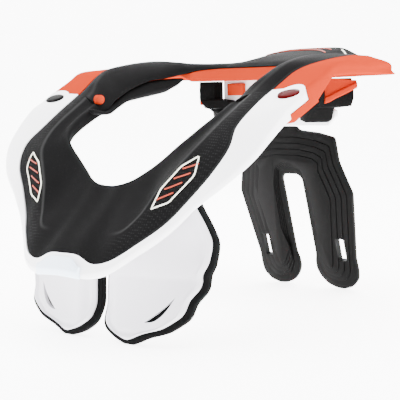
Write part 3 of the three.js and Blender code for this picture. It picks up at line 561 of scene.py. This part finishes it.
def rearShape(g):
    # 0 on the arms and 1 at the tail, the way in which the padding's inner face swells, and how far
    reach = brace["neckRear"]
    tailShare = ease(g["neck"][:, 1], reach * 0.78, reach * 0.86)[:, None]
    inside = unit(g["ridge"] - g["neck"])
    face = unit(g["up"] - inside * np.sum(g["up"] * inside, axis=1, keepdims=True))
    return tailShare, face, 4.5 - 1.5 * tailShare


def rearPadRings(g):
    # a roll over the arms that widens into the tail's table, its inner face swollen from neck edge to ridge
    t = brace["padThickness"]
    share, face, bulge = rearShape(g)
    lip = t + (5.0 - t) * share
    rise = g["ridge"] - g["neck"]
    points = [g["neck"], g["neck"] + rise * 0.1 + face * bulge * 0.9,
              g["neck"] + rise * 0.38 + face * bulge * 1.2, g["neck"] + rise * 0.72 + face * bulge * 0.8,
              g["ridge"], (g["ridge"] + g["edge"]) / 2 - down * 0.8, g["edge"] - g["out"],
              g["edge"] + down * 2.2, g["edge"] + down * t * 0.7, g["ridge"] + down * t,
              (g["neck"] + g["ridge"]) / 2 - face * t * 0.55, g["neck"] + g["away"] * lip]
    radii = [1.6, 4, 8, 8, 4, 6, 1.4, 1, 1, 5, 6, 1.5]
    return roundCorners(np.stack(points, axis=1), radii, 4)


rearPad = loft("rearPad", rearPadRings(rear), angle=60)
# a painted highlight along the neck edge, the ridge and the pad's edge
highlightLine, flankZone = padMarks(rear, [0.1, 0, 0, 0, 0.4, 0, 0.4, 0, 0, 0, 0, 0], [0] * 12, (0.0, 0.1))
paint(rearPad, "paintedHighlight", highlightLine)
paint(rearPad, "flank", flankZone)
cut(rearPad, zonePrism("seamTool", 0.25), "DIFFERENCE")
buttonSet = {"radius": 3.9, "y": 2.0, "z": 182.0, "head": -69.4, "tail": -75.0, "travel": 2.5}


def crossBar(name, radius, low, high, dome=0.0):
    # a round bar along X, with a slightly domed end towards the neck
    ring = disc(radius, count=40)
    stops = [(low, 1), (high, 1)]
    if dome:
        stops = [(low, 1), (high - 0.8, 1), (high - 0.25, 0.93), (high + dome * 0.6, 0.6), (high + dome, 0.1)]
    centre = [buttonSet["y"], buttonSet["z"]]
    rings = np.stack([np.column_stack([np.full(len(ring), x), ring * k + centre]) for x, k in stops])
    return loft(name, rings, angle=40)


holeEnd = buttonSet["tail"] - buttonSet["travel"] - 0.6
cut(rearPad, crossBar("buttonTool", buttonSet["radius"] + 0.4, holeEnd, 0))
soften(rearPad, 60)
finished(rearPad, tableFoam, "table_foam", "rear_half", "rear_pad")
latchButton = crossBar("latchButton", buttonSet["radius"], buttonSet["tail"], buttonSet["head"], 0.7)
finished(latchButton, orangePlastic, "orange_shell", "latch", "latch_button")
print("rear padding", len(rearPad.data.polygons))


def rearShellRings(g):
    # the orange shell: under the padding, outside it, and down to the foot of its wall
    t, gap, wall = brace["padThickness"], brace["gap"], brace["shell"]
    share, face, bulge = rearShape(g)
    lip = (t + gap) + (0.4 - t - gap) * share
    reach = brace["rearReach"]
    solid = 1 - ease(g["rim"][:, 1], reach * 0.1, reach * 0.2)[:, None]
    innerTop = g["neck"] + g["away"] * lip + down * gap * np.minimum(share * 9, 2)
    innerHigh = (innerTop[:, 2:] - 0.8) * (1 - share) + rearSet["tailFloor"] * share
    innerFoot = innerTop * ground + upright * innerHigh
    under = g["neck"] + g["away"] * (t + gap) + down * gap
    flare = rearSet["flare"] * ease(g["rim"][:, 1], reach * 0.4, reach * 0.8)[:, None]
    foot = g["rim"] * ground + upright * g["value"] + g["out"] * (flare - 0.6)
    beside = g["edge"] + g["out"] * gap
    sink = t * 0.7 + gap
    middle = (g["neck"] + g["ridge"]) / 2 - face * (t * 0.55 + gap)

    def deep(p, k):
        # near the pins, where the shell is solid, a point goes down towards the height of the foot
        return p * ground + upright * (p[:, 2:] + (foot[:, 2:] + 0.6 - p[:, 2:]) * solid * k)

    belowEdge = deep(beside + down * (sink + wall), 1.0)
    belowRidge = deep(g["ridge"] + down * (t + gap + wall), 0.4)
    second = innerTop + (middle + (under - middle) * share - innerTop) * (0.1 + 0.85 * share)
    tail = (1 - ease(np.abs(g["s"]), 3.0, 6.0))[:, None]
    brow = g["rim"] + down * 2
    points = [innerTop, second, middle, g["ridge"] + down * (t + gap), beside + down * sink, beside,
              g["rim"] - g["out"] * 2 - down * 0.9, brow,
              (brow + foot) / 2 - g["out"] * tail * rearSet["hollow"], foot,
              foot - g["out"] * rearSet["rimWall"], belowEdge, belowRidge, middle - face * wall,
              innerFoot + g["away"] * wall, innerFoot]
    radii = [0.5, 0.5, 5, 4, 0.5, 0.8, 4.0, 4.0, 6.0, 1.4, 1, 2, 3, 4, 1, 0.8]
    return roundCorners(np.stack(points, axis=1), radii, 4)


rearShell = loft("rearShell", rearShellRings(rear), angle=50)
cut(rearShell, zonePrism("seamTool", 0.4), "DIFFERENCE")
lugSet = {"radius": 21.0, "top": -8.4, "bottom": -15.0, "wall": 137.0}
for side in (1, -1):
    lug = pinPrism("lug", disc(lugSet["radius"]), lugSet["bottom"], lugSet["top"], side)
    cut(lug, prism("wallTool", rectangle(lugSet["wall"], -far, far), (0.0, far)), "INTERSECT")
    cut(rearShell, lug, "UNION")
soften(rearShell, 50)
finished(rearShell, orangePlastic, "orange_shell", "rear_half", "rear_chassis")
print("rear shell", len(rearShell.data.polygons))


# chest plates and their padding

plateSet = {"halfGap": 3.0, "reach": 95.0, "tall": 135.0, "front": 83.0, "twist": 0.36, "inset": 3.4,
            "thick": 3.0, "padThick": 8.0, "fold": 7.0, "levels": 76, "acrossPoints": 40, "lip": 1.1,
            "slotLong": 27.0, "slotWide": 6.0, "wave": 1.3, "backRound": 4.0, "backCut": (-65.5, 0.0),
            "cutFrom": 0.87}
# share of the height, then the inner and the outer edge as shares of the reach
plateRows = np.array([[0, 0.3, 0.38], [0.015, 0.22, 0.44], [0.037, 0.15, 0.5], [0.06, 0.1, 0.6],
                      [0.075, 0.07, 0.7], [0.1, 0.045, 0.77], [0.15, 0.032, 0.845], [0.22, 0.032, 0.905],
                      [0.3, 0.032, 0.947], [0.37, 0.04, 0.973], [0.48, 0.055, 1], [0.57, 0.075, 1],
                      [0.67, 0.1, 0.94], [0.75, 0.12, 0.875], [0.89, 0.15, 0.79], [1, 0.16, 0.74]])


def plateY(x, z):
    # a surface that leans back as it climbs, more at its outer side, with its inner edge folded back
    tall = plateSet["tall"]
    climb = np.minimum(z, tall * 0.37) + tall * 0.09 * ease(z, tall * 0.37, tall * 0.6)
    side = (x - 15) / (plateSet["reach"] * 0.79)
    fold = plateSet["fold"] * ease(21 - x, 0, 15) * ease(z, 6, 30)
    return -plateSet["front"] + climb * (0.1 + plateSet["twist"] * side) + fold


def plateRings(inset, lift, front, thick, lip):
    # level by level from the tip up: the front face with a raised lip along both edges, then the back face
    share = np.linspace(0, 1, plateSet["levels"]) ** 1.6
    inner = np.interp(share, plateRows[:, 0], plateRows[:, 1])
    outer = np.interp(share, plateRows[:, 0], plateRows[:, 2])
    weights = np.array([1, 2, 3, 2, 1]) / 9
    inner = np.convolve(np.pad(inner, 2, "edge"), weights, "valid")
    outer = np.convolve(np.pad(outer, 2, "edge"), weights, "valid")
    z = share * (plateSet["tall"] - lift) + lift
    fade = ease(share, 0.03, 0.1) * (1 - ease(share, 0.36, 0.5))
    wave = -plateSet["wave"] * np.cos(2 * np.pi * (share - 0.09) / 0.15) * fade
    high = outer * plateSet["reach"] - inset * (1 - 0.45 * ease(share, 0.3, 0.55)) + wave
    low = np.minimum(plateSet["halfGap"] + (inner - 0.032) * plateSet["reach"] + inset, high - 1)
    u = (1 - np.cos(np.linspace(0, np.pi, plateSet["acrossPoints"]))) / 2
    x = low[:, None] + (high - low)[:, None] * u
    level = np.repeat(z[:, None], len(u), axis=1)
    fromEdge = np.minimum(np.minimum(x - low[:, None], high[:, None] - x), (level - lift) * 1.2 + 0.01)
    radius = min(1.4, thick * 0.45)
    turn = radius - np.sqrt(np.maximum(radius ** 2 - np.maximum(radius - fromEdge, 0) ** 2, 0))
    wide = plateSet["backRound"] if thick > 5 else radius
    backTurn = wide - np.sqrt(np.maximum(wide ** 2 - np.maximum(wide - fromEdge, 0) ** 2, 0))
    raised = lip * (np.exp(-((fromEdge - 3.0) / 1.5) ** 2) - 0.5 * np.exp(-((fromEdge - 6.5) / 1.8) ** 2))
    faceY = plateY(x, level) + front + turn - raised
    backY = plateY(x, level) + front + thick - np.maximum(turn, backTurn)
    face = np.stack([x, faceY, level], axis=2)
    back = np.stack([x, backY, level], axis=2)[:, ::-1]
    return np.concatenate([face, back], axis=1)


def crescentTool(x, z):
    # a leaf between two parabolas, carried from front to back
    long, wide = plateSet["slotLong"], plateSet["slotWide"]
    t = np.linspace(0, 1, 12)[:, None]
    tip = np.array([[long * 0.86, long * 0.72]])
    low = 2 * t * (1 - t) * np.array([[long * 0.55, -1.0]]) + t * t * tip
    high = (1 - t) ** 2 * tip + 2 * t * (1 - t) * np.array([[long * 0.5, wide * 1.6 - 1]])
    ring = np.vstack([low[:-1], high[:-1]]) + [x, z]
    rings = np.stack([np.column_stack([ring[:, 0], np.full(len(ring), y), ring[:, 1]]) for y in (-160.0,
                                                                                                 0.0)])
    return loft("slotTool", rings, smooth=False)


def underFront(drop):
    # what hangs below the front shell, as one block that trims the tops of the plates
    g = collarLines(frontTable, brace["frontReach"], brace["neckFront"], np.linspace(-11, 11, 89))
    under = brace["padThickness"] + brace["gap"] + brace["shell"]
    middle = (g["neck"] + g["ridge"]) / 2 - g["up"] * (frontSet["dish"] + under)
    inner = g["neck"] + g["across"] * (frontSet["lip"] + 0.6) + down * (under + 0.6)
    foot = g["rim"] + down * g["value"] - g["out"]
    low = [foot + g["out"] * 4, foot, foot - g["out"] * 4, g["edge"] - g["up"] * under,
           g["ridge"] - g["up"] * under, middle, inner]
    low = np.stack([p + down * drop for p in low], axis=1)
    high = (low - down * 100)[:, ::-1]
    return loft("underTool", np.concatenate([low, high], axis=1), smooth=False)


def behindEdge():
    # a block that trims what of the plates' tops would show behind the front shell
    heights = (plateSet["tall"] * plateSet["cutFrom"], far)
    return prism("edgeTool", rectangle(far, *plateSet["backCut"]), heights)


plate = loft("chestPlateLeft", plateRings(plateSet["inset"], 4.0, 0.0, plateSet["thick"], plateSet["lip"]),
             angle=38)
cut(plate, crescentTool(plateSet["reach"] * 0.5, plateSet["tall"] * 0.135))
cut(plate, underFront(0.6))
cut(plate, behindEdge())
soften(plate, 38)
platePad = loft("chestPadLeft", plateRings(0.0, 0.0, plateSet["thick"] + 0.3, plateSet["padThick"], 0.0),
                angle=50)
cut(platePad, underFront(0.6))
cut(platePad, behindEdge())
soften(platePad, 50)
# no painted highlight on this piece: its highlight layer stays at zero
platePad.data.attributes.new("paintedHighlight", "FLOAT", "POINT")
for obj, made, material, slot, cadNode in ((plate, "chestPlateRight", shadedPlatePlastic, "white_shell",
                                            "chest_plate"),
                                           (platePad, "chestPadRight", tableFoam, "table_foam",
                                            "chest_pad")):
    twin = mirrored(obj, made)
    finished(obj, material, slot, "front_half", cadNode + "_left")
    finished(twin, material, slot, "front_half", cadNode + "_right")
print("chest plates", len(plate.data.polygons))


# pads under the rear arms

armSet = {"inner": 64.0, "width": 26.0, "height": 14.0}
# along the arm, then the underside and the top as shares of the pins' height, the inner side and the width
armRows = np.array([
    [-0.1, 0.938, 0.944, -0.06, 0.2], [-0.09, 0.922, 0.95, -0.09, 0.36], [-0.02, 0.918, 0.938, -0.08, 0.4],
    [0.04, 0.918, 0.935, -0.04, 0.5], [0.08, 0.918, 0.945, 0.06, 0.8], [0.16, 0.935, 0.972, 0.2, 1],
    [0.28, 0.968, 1.02, 0.25, 1], [0.48, 0.99, 1.066, 0.25, 1], [0.66, 1.01, 1.08, 0.22, 0.9],
    [0.76, 1.045, 1.085, 0.2, 0.6], [0.79, 1.075, 1.086, 0.2, 0.3]])


def rearUnder(drop):
    # what hangs below the rear half, as one block that trims the arm pads
    g = collarLines(rearTable, brace["rearReach"], brace["neckRear"], np.linspace(-12, 12, 97))
    # of the five points of each rounded corner, the middle one
    shell = rearShellRings(g)[:, 2::5]
    pad = rearPadRings(g)[:, 2::5]
    corners = [pad[:, :1] - g["away"][:, None] * 1.2, pad[:, :1], pad[:, -1:], shell[:, 9:][:, ::-1]]
    low = np.concatenate(corners, axis=1) + down * drop
    return loft("underTool", np.concatenate([low, (low - down * 100)[:, ::-1]], axis=1), smooth=False)


def armPadRings():
    # lens-shaped sections strung along the arm, smooth between the rows
    q = np.linspace(0, 1, 60)
    y = armRows[0, 0] + (armRows[-1, 0] - armRows[0, 0]) * (q - 0.05 * np.sin(2 * np.pi * q))
    low, top, inner, width = (np.interp(y, armRows[:, 0], armRows[:, k]) for k in (1, 2, 3, 4))
    weights = np.array([1, 2, 3, 2, 1]) / 9
    low, top, inner, width = (np.convolve(np.pad(v, 2, "edge"), weights, "valid") for v in (low, top, inner,
                                                                                            width))
    y, low = y * brace["neckRear"], low * brace["pinHeight"]
    top = top * brace["pinHeight"] - 0.3
    a = armSet["inner"] + inner * armSet["width"]
    b = a + width * armSet["width"]
    mid = (low + top) / 2
    soft = np.minimum(np.minimum(armSet["height"] * 0.3, (top - low) * 0.4), (b - a) * 0.3)

    corners = [(a, mid), (a + soft, low + soft * 0.3), ((a + b) / 2, low), (b - soft, low + soft * 0.3),
               (b, mid), (b, top), (a + soft, top)]
    points = np.stack([np.stack([x, y, z], axis=1) for x, z in corners], axis=1)
    return roundCorners(points, [4, 4, 6, 4, 4, 0.6, 2], 4)


armPad = loft("armPadLeft", armPadRings(), angle=50)
cut(armPad, rearUnder(0.3))
soften(armPad, 50)
# no painted highlight on this piece: its highlight layer stays at zero
armPad.data.attributes.new("paintedHighlight", "FLOAT", "POINT")
twin = mirrored(armPad, "armPadRight")
for obj, cadNode in ((armPad, "arm_pad_left"), (twin, "arm_pad_right")):
    finished(obj, tableFoam, "table_foam", "rear_half", cadNode)
print("arm pads", len(armPad.data.polygons))


# back strut

strutSet = {"height": 151.0, "half": 63.0, "thick": 4.6, "lean": 16.4, "topY": 163.0, "forkGap": 11.5,
            "forkTop": 109.0, "slotWide": 8.0, "slotLong": 22.0, "step": 0.85,
            "insets": (5.0, 10.5, 16.0, 21.5)}
# outer side from the top down: shares of the half width and of the height
strutRows = np.array([[0.24, 1.013], [0.27, 0.99], [0.6, 0.975], [0.86, 0.947], [0.86, 0.8], [0.93, 0.7],
                      [1, 0.61], [0.93, 0.4], [0.86, 0.2], [0.87, 0.126], [0.85, 0.07], [0.74, 0.02],
                      [0.58, 0], [0.44, 0.005], [0.3, 0.03], [0.2, 0.075]])
# a raised step's outline: mm across and its change with the inset, share of the height and its change
stepRows = np.array([[14, 0, 0.985, -1], [36, -0.3, 0.965, -1], [52, -0.8, 0.935, -1], [54, -1, 0.8, -0.3],
                     [58.5, -1, 0.7, -0.2], [62.5, -1, 0.61, -0.2], [58, -1, 0.4, 0], [53.5, -1, 0.2, 0],
                     [52, -1, 0.1, 0.4], [44, -0.7, 0.035, 0.8], [34, -0.3, 0.03, 0.8],
                     [21, 0.1, 0.05, 0.8], [15, 0, 0.12, 1], [15, 0.25, 0.24, 1]])
# its corners at the fork, with mm above the fork's top instead of the share
crotchRows = np.array([[15, 0.2, -10, 0], [12, 0.1, 3, 0.2], [4, 0, 6, 0.3]])


def roundFlat(ring, radius, steps=4):
    # the corners of a flat outline, rounded
    flat = np.column_stack([ring, np.zeros(len(ring))])[None]
    return roundCorners(flat, np.full(len(ring), radius), steps)[0][:, :2]


def insetRing(ring, distance):
    # moves each point of a flat outline inwards along the mean of its two sides' normals
    before, after = unit(ring - np.roll(ring, 1, axis=0)), unit(np.roll(ring, -1, axis=0) - ring)
    turn = np.column_stack([-(before + after)[:, 1], (before + after)[:, 0]])
    area = np.sum(ring[:, 0] * np.roll(ring[:, 1], -1) - ring[:, 1] * np.roll(ring[:, 0], -1))
    return ring + unit(turn) * distance * np.sign(area)


def slab(name, ring, low, high, bevel=0.8):
    # a flat outline with rounded edges on the strut's own plane: x across, y up the lean, z its thickness
    part = bevel * 0.3
    edge = [(bevel, 0), (part, part), (0, bevel)]
    levels = [(k, low + h) for k, h in edge] + [(k, high - h) for k, h in edge[::-1]]
    rings = np.stack([np.column_stack([insetRing(ring, k), np.full(len(ring), z)]) for k, z in levels])
    return loft(name, rings, shift=False, angle=35)


def wholeRing(half, radius):
    # both sides of an outline out of one, with its corners rounded
    return roundFlat(np.vstack([half, half[::-1] * [-1, 1]]), radius)


rise = 1 / math.cos(math.radians(strutSet["lean"]))
tall, top, inner = strutSet["height"] * rise, strutSet["forkTop"] * rise, strutSet["forkGap"]
fork = np.array([[inner - 2, tall * 0.12], [inner - 2, tall * 0.17], [inner, tall * 0.22],
                 [inner, top - 4 * rise], [inner - 4, top]])
outer = strutRows * [strutSet["half"], tall]
strut = slab("backStrut", wholeRing(np.vstack([outer, fork]), 3.0), 0.0, strutSet["thick"], 1.0)
# raised steps whose edges run along the top and down the outer side of each leg, nested in one another
for k, d in enumerate(strutSet["insets"]):
    side = stepRows[:, 0::2] * [1, tall] + stepRows[:, 1::2] * d
    crotch = crotchRows[:, 0::2] + [0, top] + crotchRows[:, 1::2] * d
    low = strutSet["thick"] + k * strutSet["step"]
    outline = wholeRing(np.vstack([side, crotch]), 2.2)
    cut(strut, slab("step", outline, low - 0.4, low + strutSet["step"], 0.4), "UNION")
slotX, slotZ, wide, long = strutSet["half"] * 0.6, tall * 0.19, strutSet["slotWide"], strutSet["slotLong"]
slotRing = np.array([[slotX, slotZ], [slotX + wide, slotZ], [slotX + wide, slotZ + long],
                     [slotX, slotZ + long]])
for sign in (1, -1):
    cut(strut, prism("slotTool", roundFlat(slotRing * [sign, 1], 1.0), (-5.0, 20.0), shift=False))
# stand it up: outline up, thickness to the front, leaning with its feet to the rear
lean = math.radians(strutSet["lean"])
strut.data.transform(Matrix.Rotation(math.pi / 2 + lean, 4, "X"))
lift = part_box("back_strut")[0].z + strutSet["thick"] * math.sin(lean) * mm
headY = -(strutRows[0, 1] * tall * math.sin(lean) + strutSet["thick"] * math.cos(lean)) * mm
slide = (strutSet["topY"] + brace["backShift"]) * mm - headY
strut.data.transform(Matrix.Translation((0, slide, lift)))
# no painted highlight on this piece: its highlight layer stays at zero
strut.data.attributes.new("paintedHighlight", "FLOAT", "POINT")
soften(strut, 35)
finished(strut, strutPlastic, "strut_black", "rear_half", "back_strut")
print("strut", len(strut.data.polygons))


# hard pieces that keep their solids' shape

def refined(cadNode, name, material, slot, body, bevel=0.5):
    # a merged copy of the solid with its edges eased
    copy = bpy.data.objects.new(name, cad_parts[cadNode].data.copy())
    bpy.context.scene.collection.objects.link(copy)
    bm = bmesh.new()
    bm.from_mesh(copy.data)
    bmesh.ops.remove_doubles(bm, verts=bm.verts, dist=1e-5)
    bmesh.ops.dissolve_limit(bm, angle_limit=math.radians(1), verts=bm.verts, edges=bm.edges)
    bm.to_mesh(copy.data)
    bm.free()
    if bevel:
        step = copy.modifiers.new("ease", "BEVEL")
        step.width, step.segments = bevel * mm, 3
        step.limit_method, step.angle_limit = "ANGLE", math.radians(30)
        settle(copy)
    soften(copy, 40)
    return finished(copy, material, slot, body, cadNode)


refined("strut_carrier", "strutCarrier", whitePlastic, "white_shell", "rear_half", 0.8)
for side in ("left", "right"):
    refined("strut_clip_" + side, "strutClip" + side.title(), orangePlastic, "orange_shell", "rear_half", 0.8)
    refined("wing_shell_" + side, "wingShell" + side.title(), orangePlastic, "orange_shell", "rear_half", 0.3)
    wing = refined("wing_pad_" + side, "wingPad" + side.title(), wingRubber, "wing_rubber", "rear_half", 1.0)
    # no painted highlight on this piece: its highlight layer stays at zero
    wing.data.attributes.new("paintedHighlight", "FLOAT", "POINT")


# inlay lines

def ribbon(name, path, normal, width=1.5, height=0.55):
    # a low rounded strip along a path on a surface: a flat oval carried along it
    run = unit(np.gradient(path, axis=0))
    side = unit(np.cross(run, normal))
    t = np.linspace(0, 2 * np.pi, 10, endpoint=False)
    steps = np.arange(len(path))
    taper = np.minimum(1, np.minimum(steps, steps[::-1]) / 2 + 0.35)[:, None, None]
    oval = side[:, None] * np.cos(t)[:, None] * width / 2 + normal[:, None] * np.sin(t)[:, None] * height
    return loft(name, path[:, None] + oval * taper, angle=60)


def onSurface(surface, corners, count=70):
    # walks the corners in the surface's own two numbers, evenly by length, and gives places and normals
    corners = np.array(corners, float)
    points, _ = surface(corners[:, 0], corners[:, 1])
    length = np.concatenate([[0], np.cumsum(np.linalg.norm(np.diff(points, axis=0), axis=1))])
    at = np.linspace(0, length[-1], count)
    s, v = np.interp(at, length, corners[:, 0]), np.interp(at, length, corners[:, 1])
    weights = np.array([1, 2, 1]) / 4
    s = np.concatenate([[s[0]], np.convolve(s, weights, "valid"), [s[-1]]])
    v = np.concatenate([[v[0]], np.convolve(v, weights, "valid"), [v[-1]]])
    return surface(s, v)


def flankSurface(s, v):
    # the outer flank of the front padding, v from the ridge to the edge
    scale = np.array([brace["halfWidth"], brace["frontReach"], brace["pinHeight"]])

    def place(s, v):
        # straight from the ridge to the edge
        ridge = curveThrough(frontTable[:, 3:6] * scale, s)
        edge = curveThrough(frontTable[:, 6:9] * scale, s)
        return ridge + (edge - ridge) * v[:, None]
    p = place(s, v)
    ds, dv = place(s + 0.02, v) - p, place(s, v + 0.02) - p
    normal = unit(np.cross(ds, dv))
    normal *= np.where(normal[:, 2:] < 0, -1, 1)
    crown = (1 - (2 * v - 1) ** 2)[:, None] * 0.7
    return p + normal * (crown + 0.1), normal


inlaySet = {"width": 1.15, "height": 0.5,
            "cream": [[(4.6, 0.3), (5.3, 0.6), (6.5, 0.64), (7.15, 0.34), (6.4, 0.12), (5.2, 0.1),
                       (4.6, 0.3)]],
            "orange": [[(4.85 + 0.5 * k, 0.2), (5.6 + 0.44 * k, 0.5)] for k in range(4)]}
lines = {"cream": [], "orange": []}
for tone in lines:
    for corners in inlaySet[tone]:
        path, normal = onSurface(flankSurface, corners)
        for sign in (1, -1):
            flip = np.array([sign, 1, 1])
            strip = ribbon("line", path * flip, normal * flip, inlaySet["width"], inlaySet["height"])
            lines[tone].append(strip)


def crestSurface(s, v):
    # the front slope of the tail's table, v from the neck edge to the crest
    neckScale = np.array([brace["neckHalf"], brace["neckRear"], brace["pinHeight"]])
    scale = np.array([brace["halfWidth"], brace["rearReach"], brace["pinHeight"]])
    shares = np.array([0, 0.1, 0.38, 0.72, 1.0])
    bulges = np.array([0, 0.9, 1.2, 0.8, 0]) * 3.0

    def place(s, v):
        # from the neck edge to the crest, raised by the padding's swell
        neck = curveThrough(rearTable[:, 0:3] * neckScale, s)
        ridge = curveThrough(rearTable[:, 3:6] * scale, s)
        return neck + (ridge - neck) * v[:, None] + upright * np.interp(v, shares, bulges)[:, None]
    p = place(s, v)
    ds, dv = place(s + 0.02, v) - p, place(s, v + 0.02) - p
    normal = unit(np.cross(ds, dv))
    normal *= np.where(normal[:, 2:] < 0, -1, 1)
    return p + normal * 0.3, normal


crestSet = {"width": 1.6, "height": 0.6,
            "cream": [[(-1.9, 0.6), (-1.7, 0.9), (-1.2, 0.9)], [(1.9, 0.6), (1.7, 0.9), (1.2, 0.9)]],
            "orange": [[(-1.3, 0.62), (0, 0.7), (1.3, 0.62)], [(-1.1, 0.76), (0, 0.84), (1.1, 0.76)]]}
rearLines = {"cream": [], "orange": []}
for tone in rearLines:
    for corners in crestSet[tone]:
        path, normal = onSurface(crestSurface, corners)
        rearLines[tone].append(ribbon("line", path, normal, crestSet["width"], crestSet["height"]))
for half, body, made in (("front", "front_half", lines), ("rear", "rear_half", rearLines)):
    for tone, material in (("cream", creamLine), ("orange", orangeLine)):
        finished(joined(half + "Inlay" + tone.title(), made[tone]), material, "table_foam", body)
print("inlay lines made")


# floor, light and camera

stageSet = {"floorTone": (0.97, 0.97, 0.97), "wide": 3.2, "near": -1.6, "bend": 1.0, "curve": 0.7,
            "height": 2.2, "glow": 5.0, "sky": (0.97, 0.98, 1.0, 1), "skyStrength": 2.0, "turn": 0.70077}


def backdrop():
    # a floor that turns up behind the object in a quarter circle
    u = np.linspace(-1, 1, 24)
    run = np.linspace(stageSet["near"], stageSet["bend"], 20)
    turn = np.linspace(0, np.pi / 2, 24)
    curve, bend = stageSet["curve"], stageSet["bend"]
    y = np.concatenate([run, bend + curve * np.sin(turn), [bend + curve]])
    z = np.concatenate([np.zeros(len(run)), curve * (1 - np.cos(turn)), [stageSet["height"]]])
    sine, cosine = math.sin(stageSet["turn"]), math.cos(stageSet["turn"])
    ahead, side = np.array([-sine, cosine, 0]), np.array([cosine, sine, 0])
    grid = ahead * y[:, None, None] + side * (u * stageSet["wide"])[None, :, None] + upright * z[:, None,
                                                                                                 None]
    n, m, _ = grid.shape
    index = np.arange(n * m).reshape(n, m)
    quads = np.stack([index[:-1, :-1], index[:-1, 1:], index[1:, 1:], index[1:, :-1]], axis=-1)
    obj = newMesh("backdrop", grid.reshape(-1, 3) / mm, quads.reshape(-1, 4).tolist())
    pale = bpy.data.materials.new("paleFloor")
    pale.use_nodes = True
    shader = pale.node_tree.nodes["Principled BSDF"]
    shader.inputs["Base Color"].default_value = (*stageSet["floorTone"], 1)
    shader.inputs["Roughness"].default_value = 0.7
    shader.inputs["Emission Color"].default_value = (1, 1, 1, 1)
    shader.inputs["Emission Strength"].default_value = stageSet["glow"]
    obj.data.materials.append(pale)


backdrop()
world = bpy.data.worlds.new("studio")
bpy.context.scene.world = world
world.use_nodes = True
world.node_tree.nodes["Background"].inputs["Color"].default_value = stageSet["sky"]
world.node_tree.nodes["Background"].inputs["Strength"].default_value = stageSet["skyStrength"]


def softbox(name, place, target, size, power):
    # a rectangular light that faces its target
    data = bpy.data.lights.new(name, "AREA")
    data.shape, data.size, data.size_y, data.energy = "RECTANGLE", size[0], size[1], power
    light = bpy.data.objects.new(name, data)
    light.location = place
    light.rotation_euler = (Vector(target) - Vector(place)).to_track_quat("-Z", "Y").to_euler()
    bpy.context.scene.collection.objects.link(light)


softbox("topBox", (0.1, 0.1, 1.5), (0, 0, 0.1), (1.4, 1.4), 75)
softbox("leftBox", (-1.3, -0.9, 0.8), (0, 0, 0.12), (1.0, 1.2), 26)
softbox("rightBox", (1.4, 0.1, 0.9), (0, 0, 0.12), (0.9, 1.2), 20)

cameraSet = {"place": (0.61954, -0.749078, 0.18641), "lift": 0.0935, "roll": -0.02233, "lens": 103.5,
             "sensor": 36}
az, el, roll = stageSet["turn"], cameraSet["lift"], cameraSet["roll"]
back = Vector((math.sin(az) * math.cos(el), -math.cos(az) * math.cos(el), math.sin(el)))
right = Vector((math.cos(az), math.sin(az), 0))
over = back.cross(right)
tiltedRight = right * math.cos(roll) + over * math.sin(roll)
tiltedUp = over * math.cos(roll) - right * math.sin(roll)
camera = bpy.data.objects.new("camera", bpy.data.cameras.new("camera"))
camera.data.sensor_width, camera.data.lens = cameraSet["sensor"], cameraSet["lens"]
camera.data.clip_start, camera.data.clip_end = 0.05, 50
placed = Matrix((tiltedRight, tiltedUp, back)).transposed().to_4x4()
placed.translation = Vector(cameraSet["place"])
camera.matrix_world = placed
bpy.context.scene.collection.objects.link(camera)
bpy.context.scene.camera = camera
print("stage and camera set")
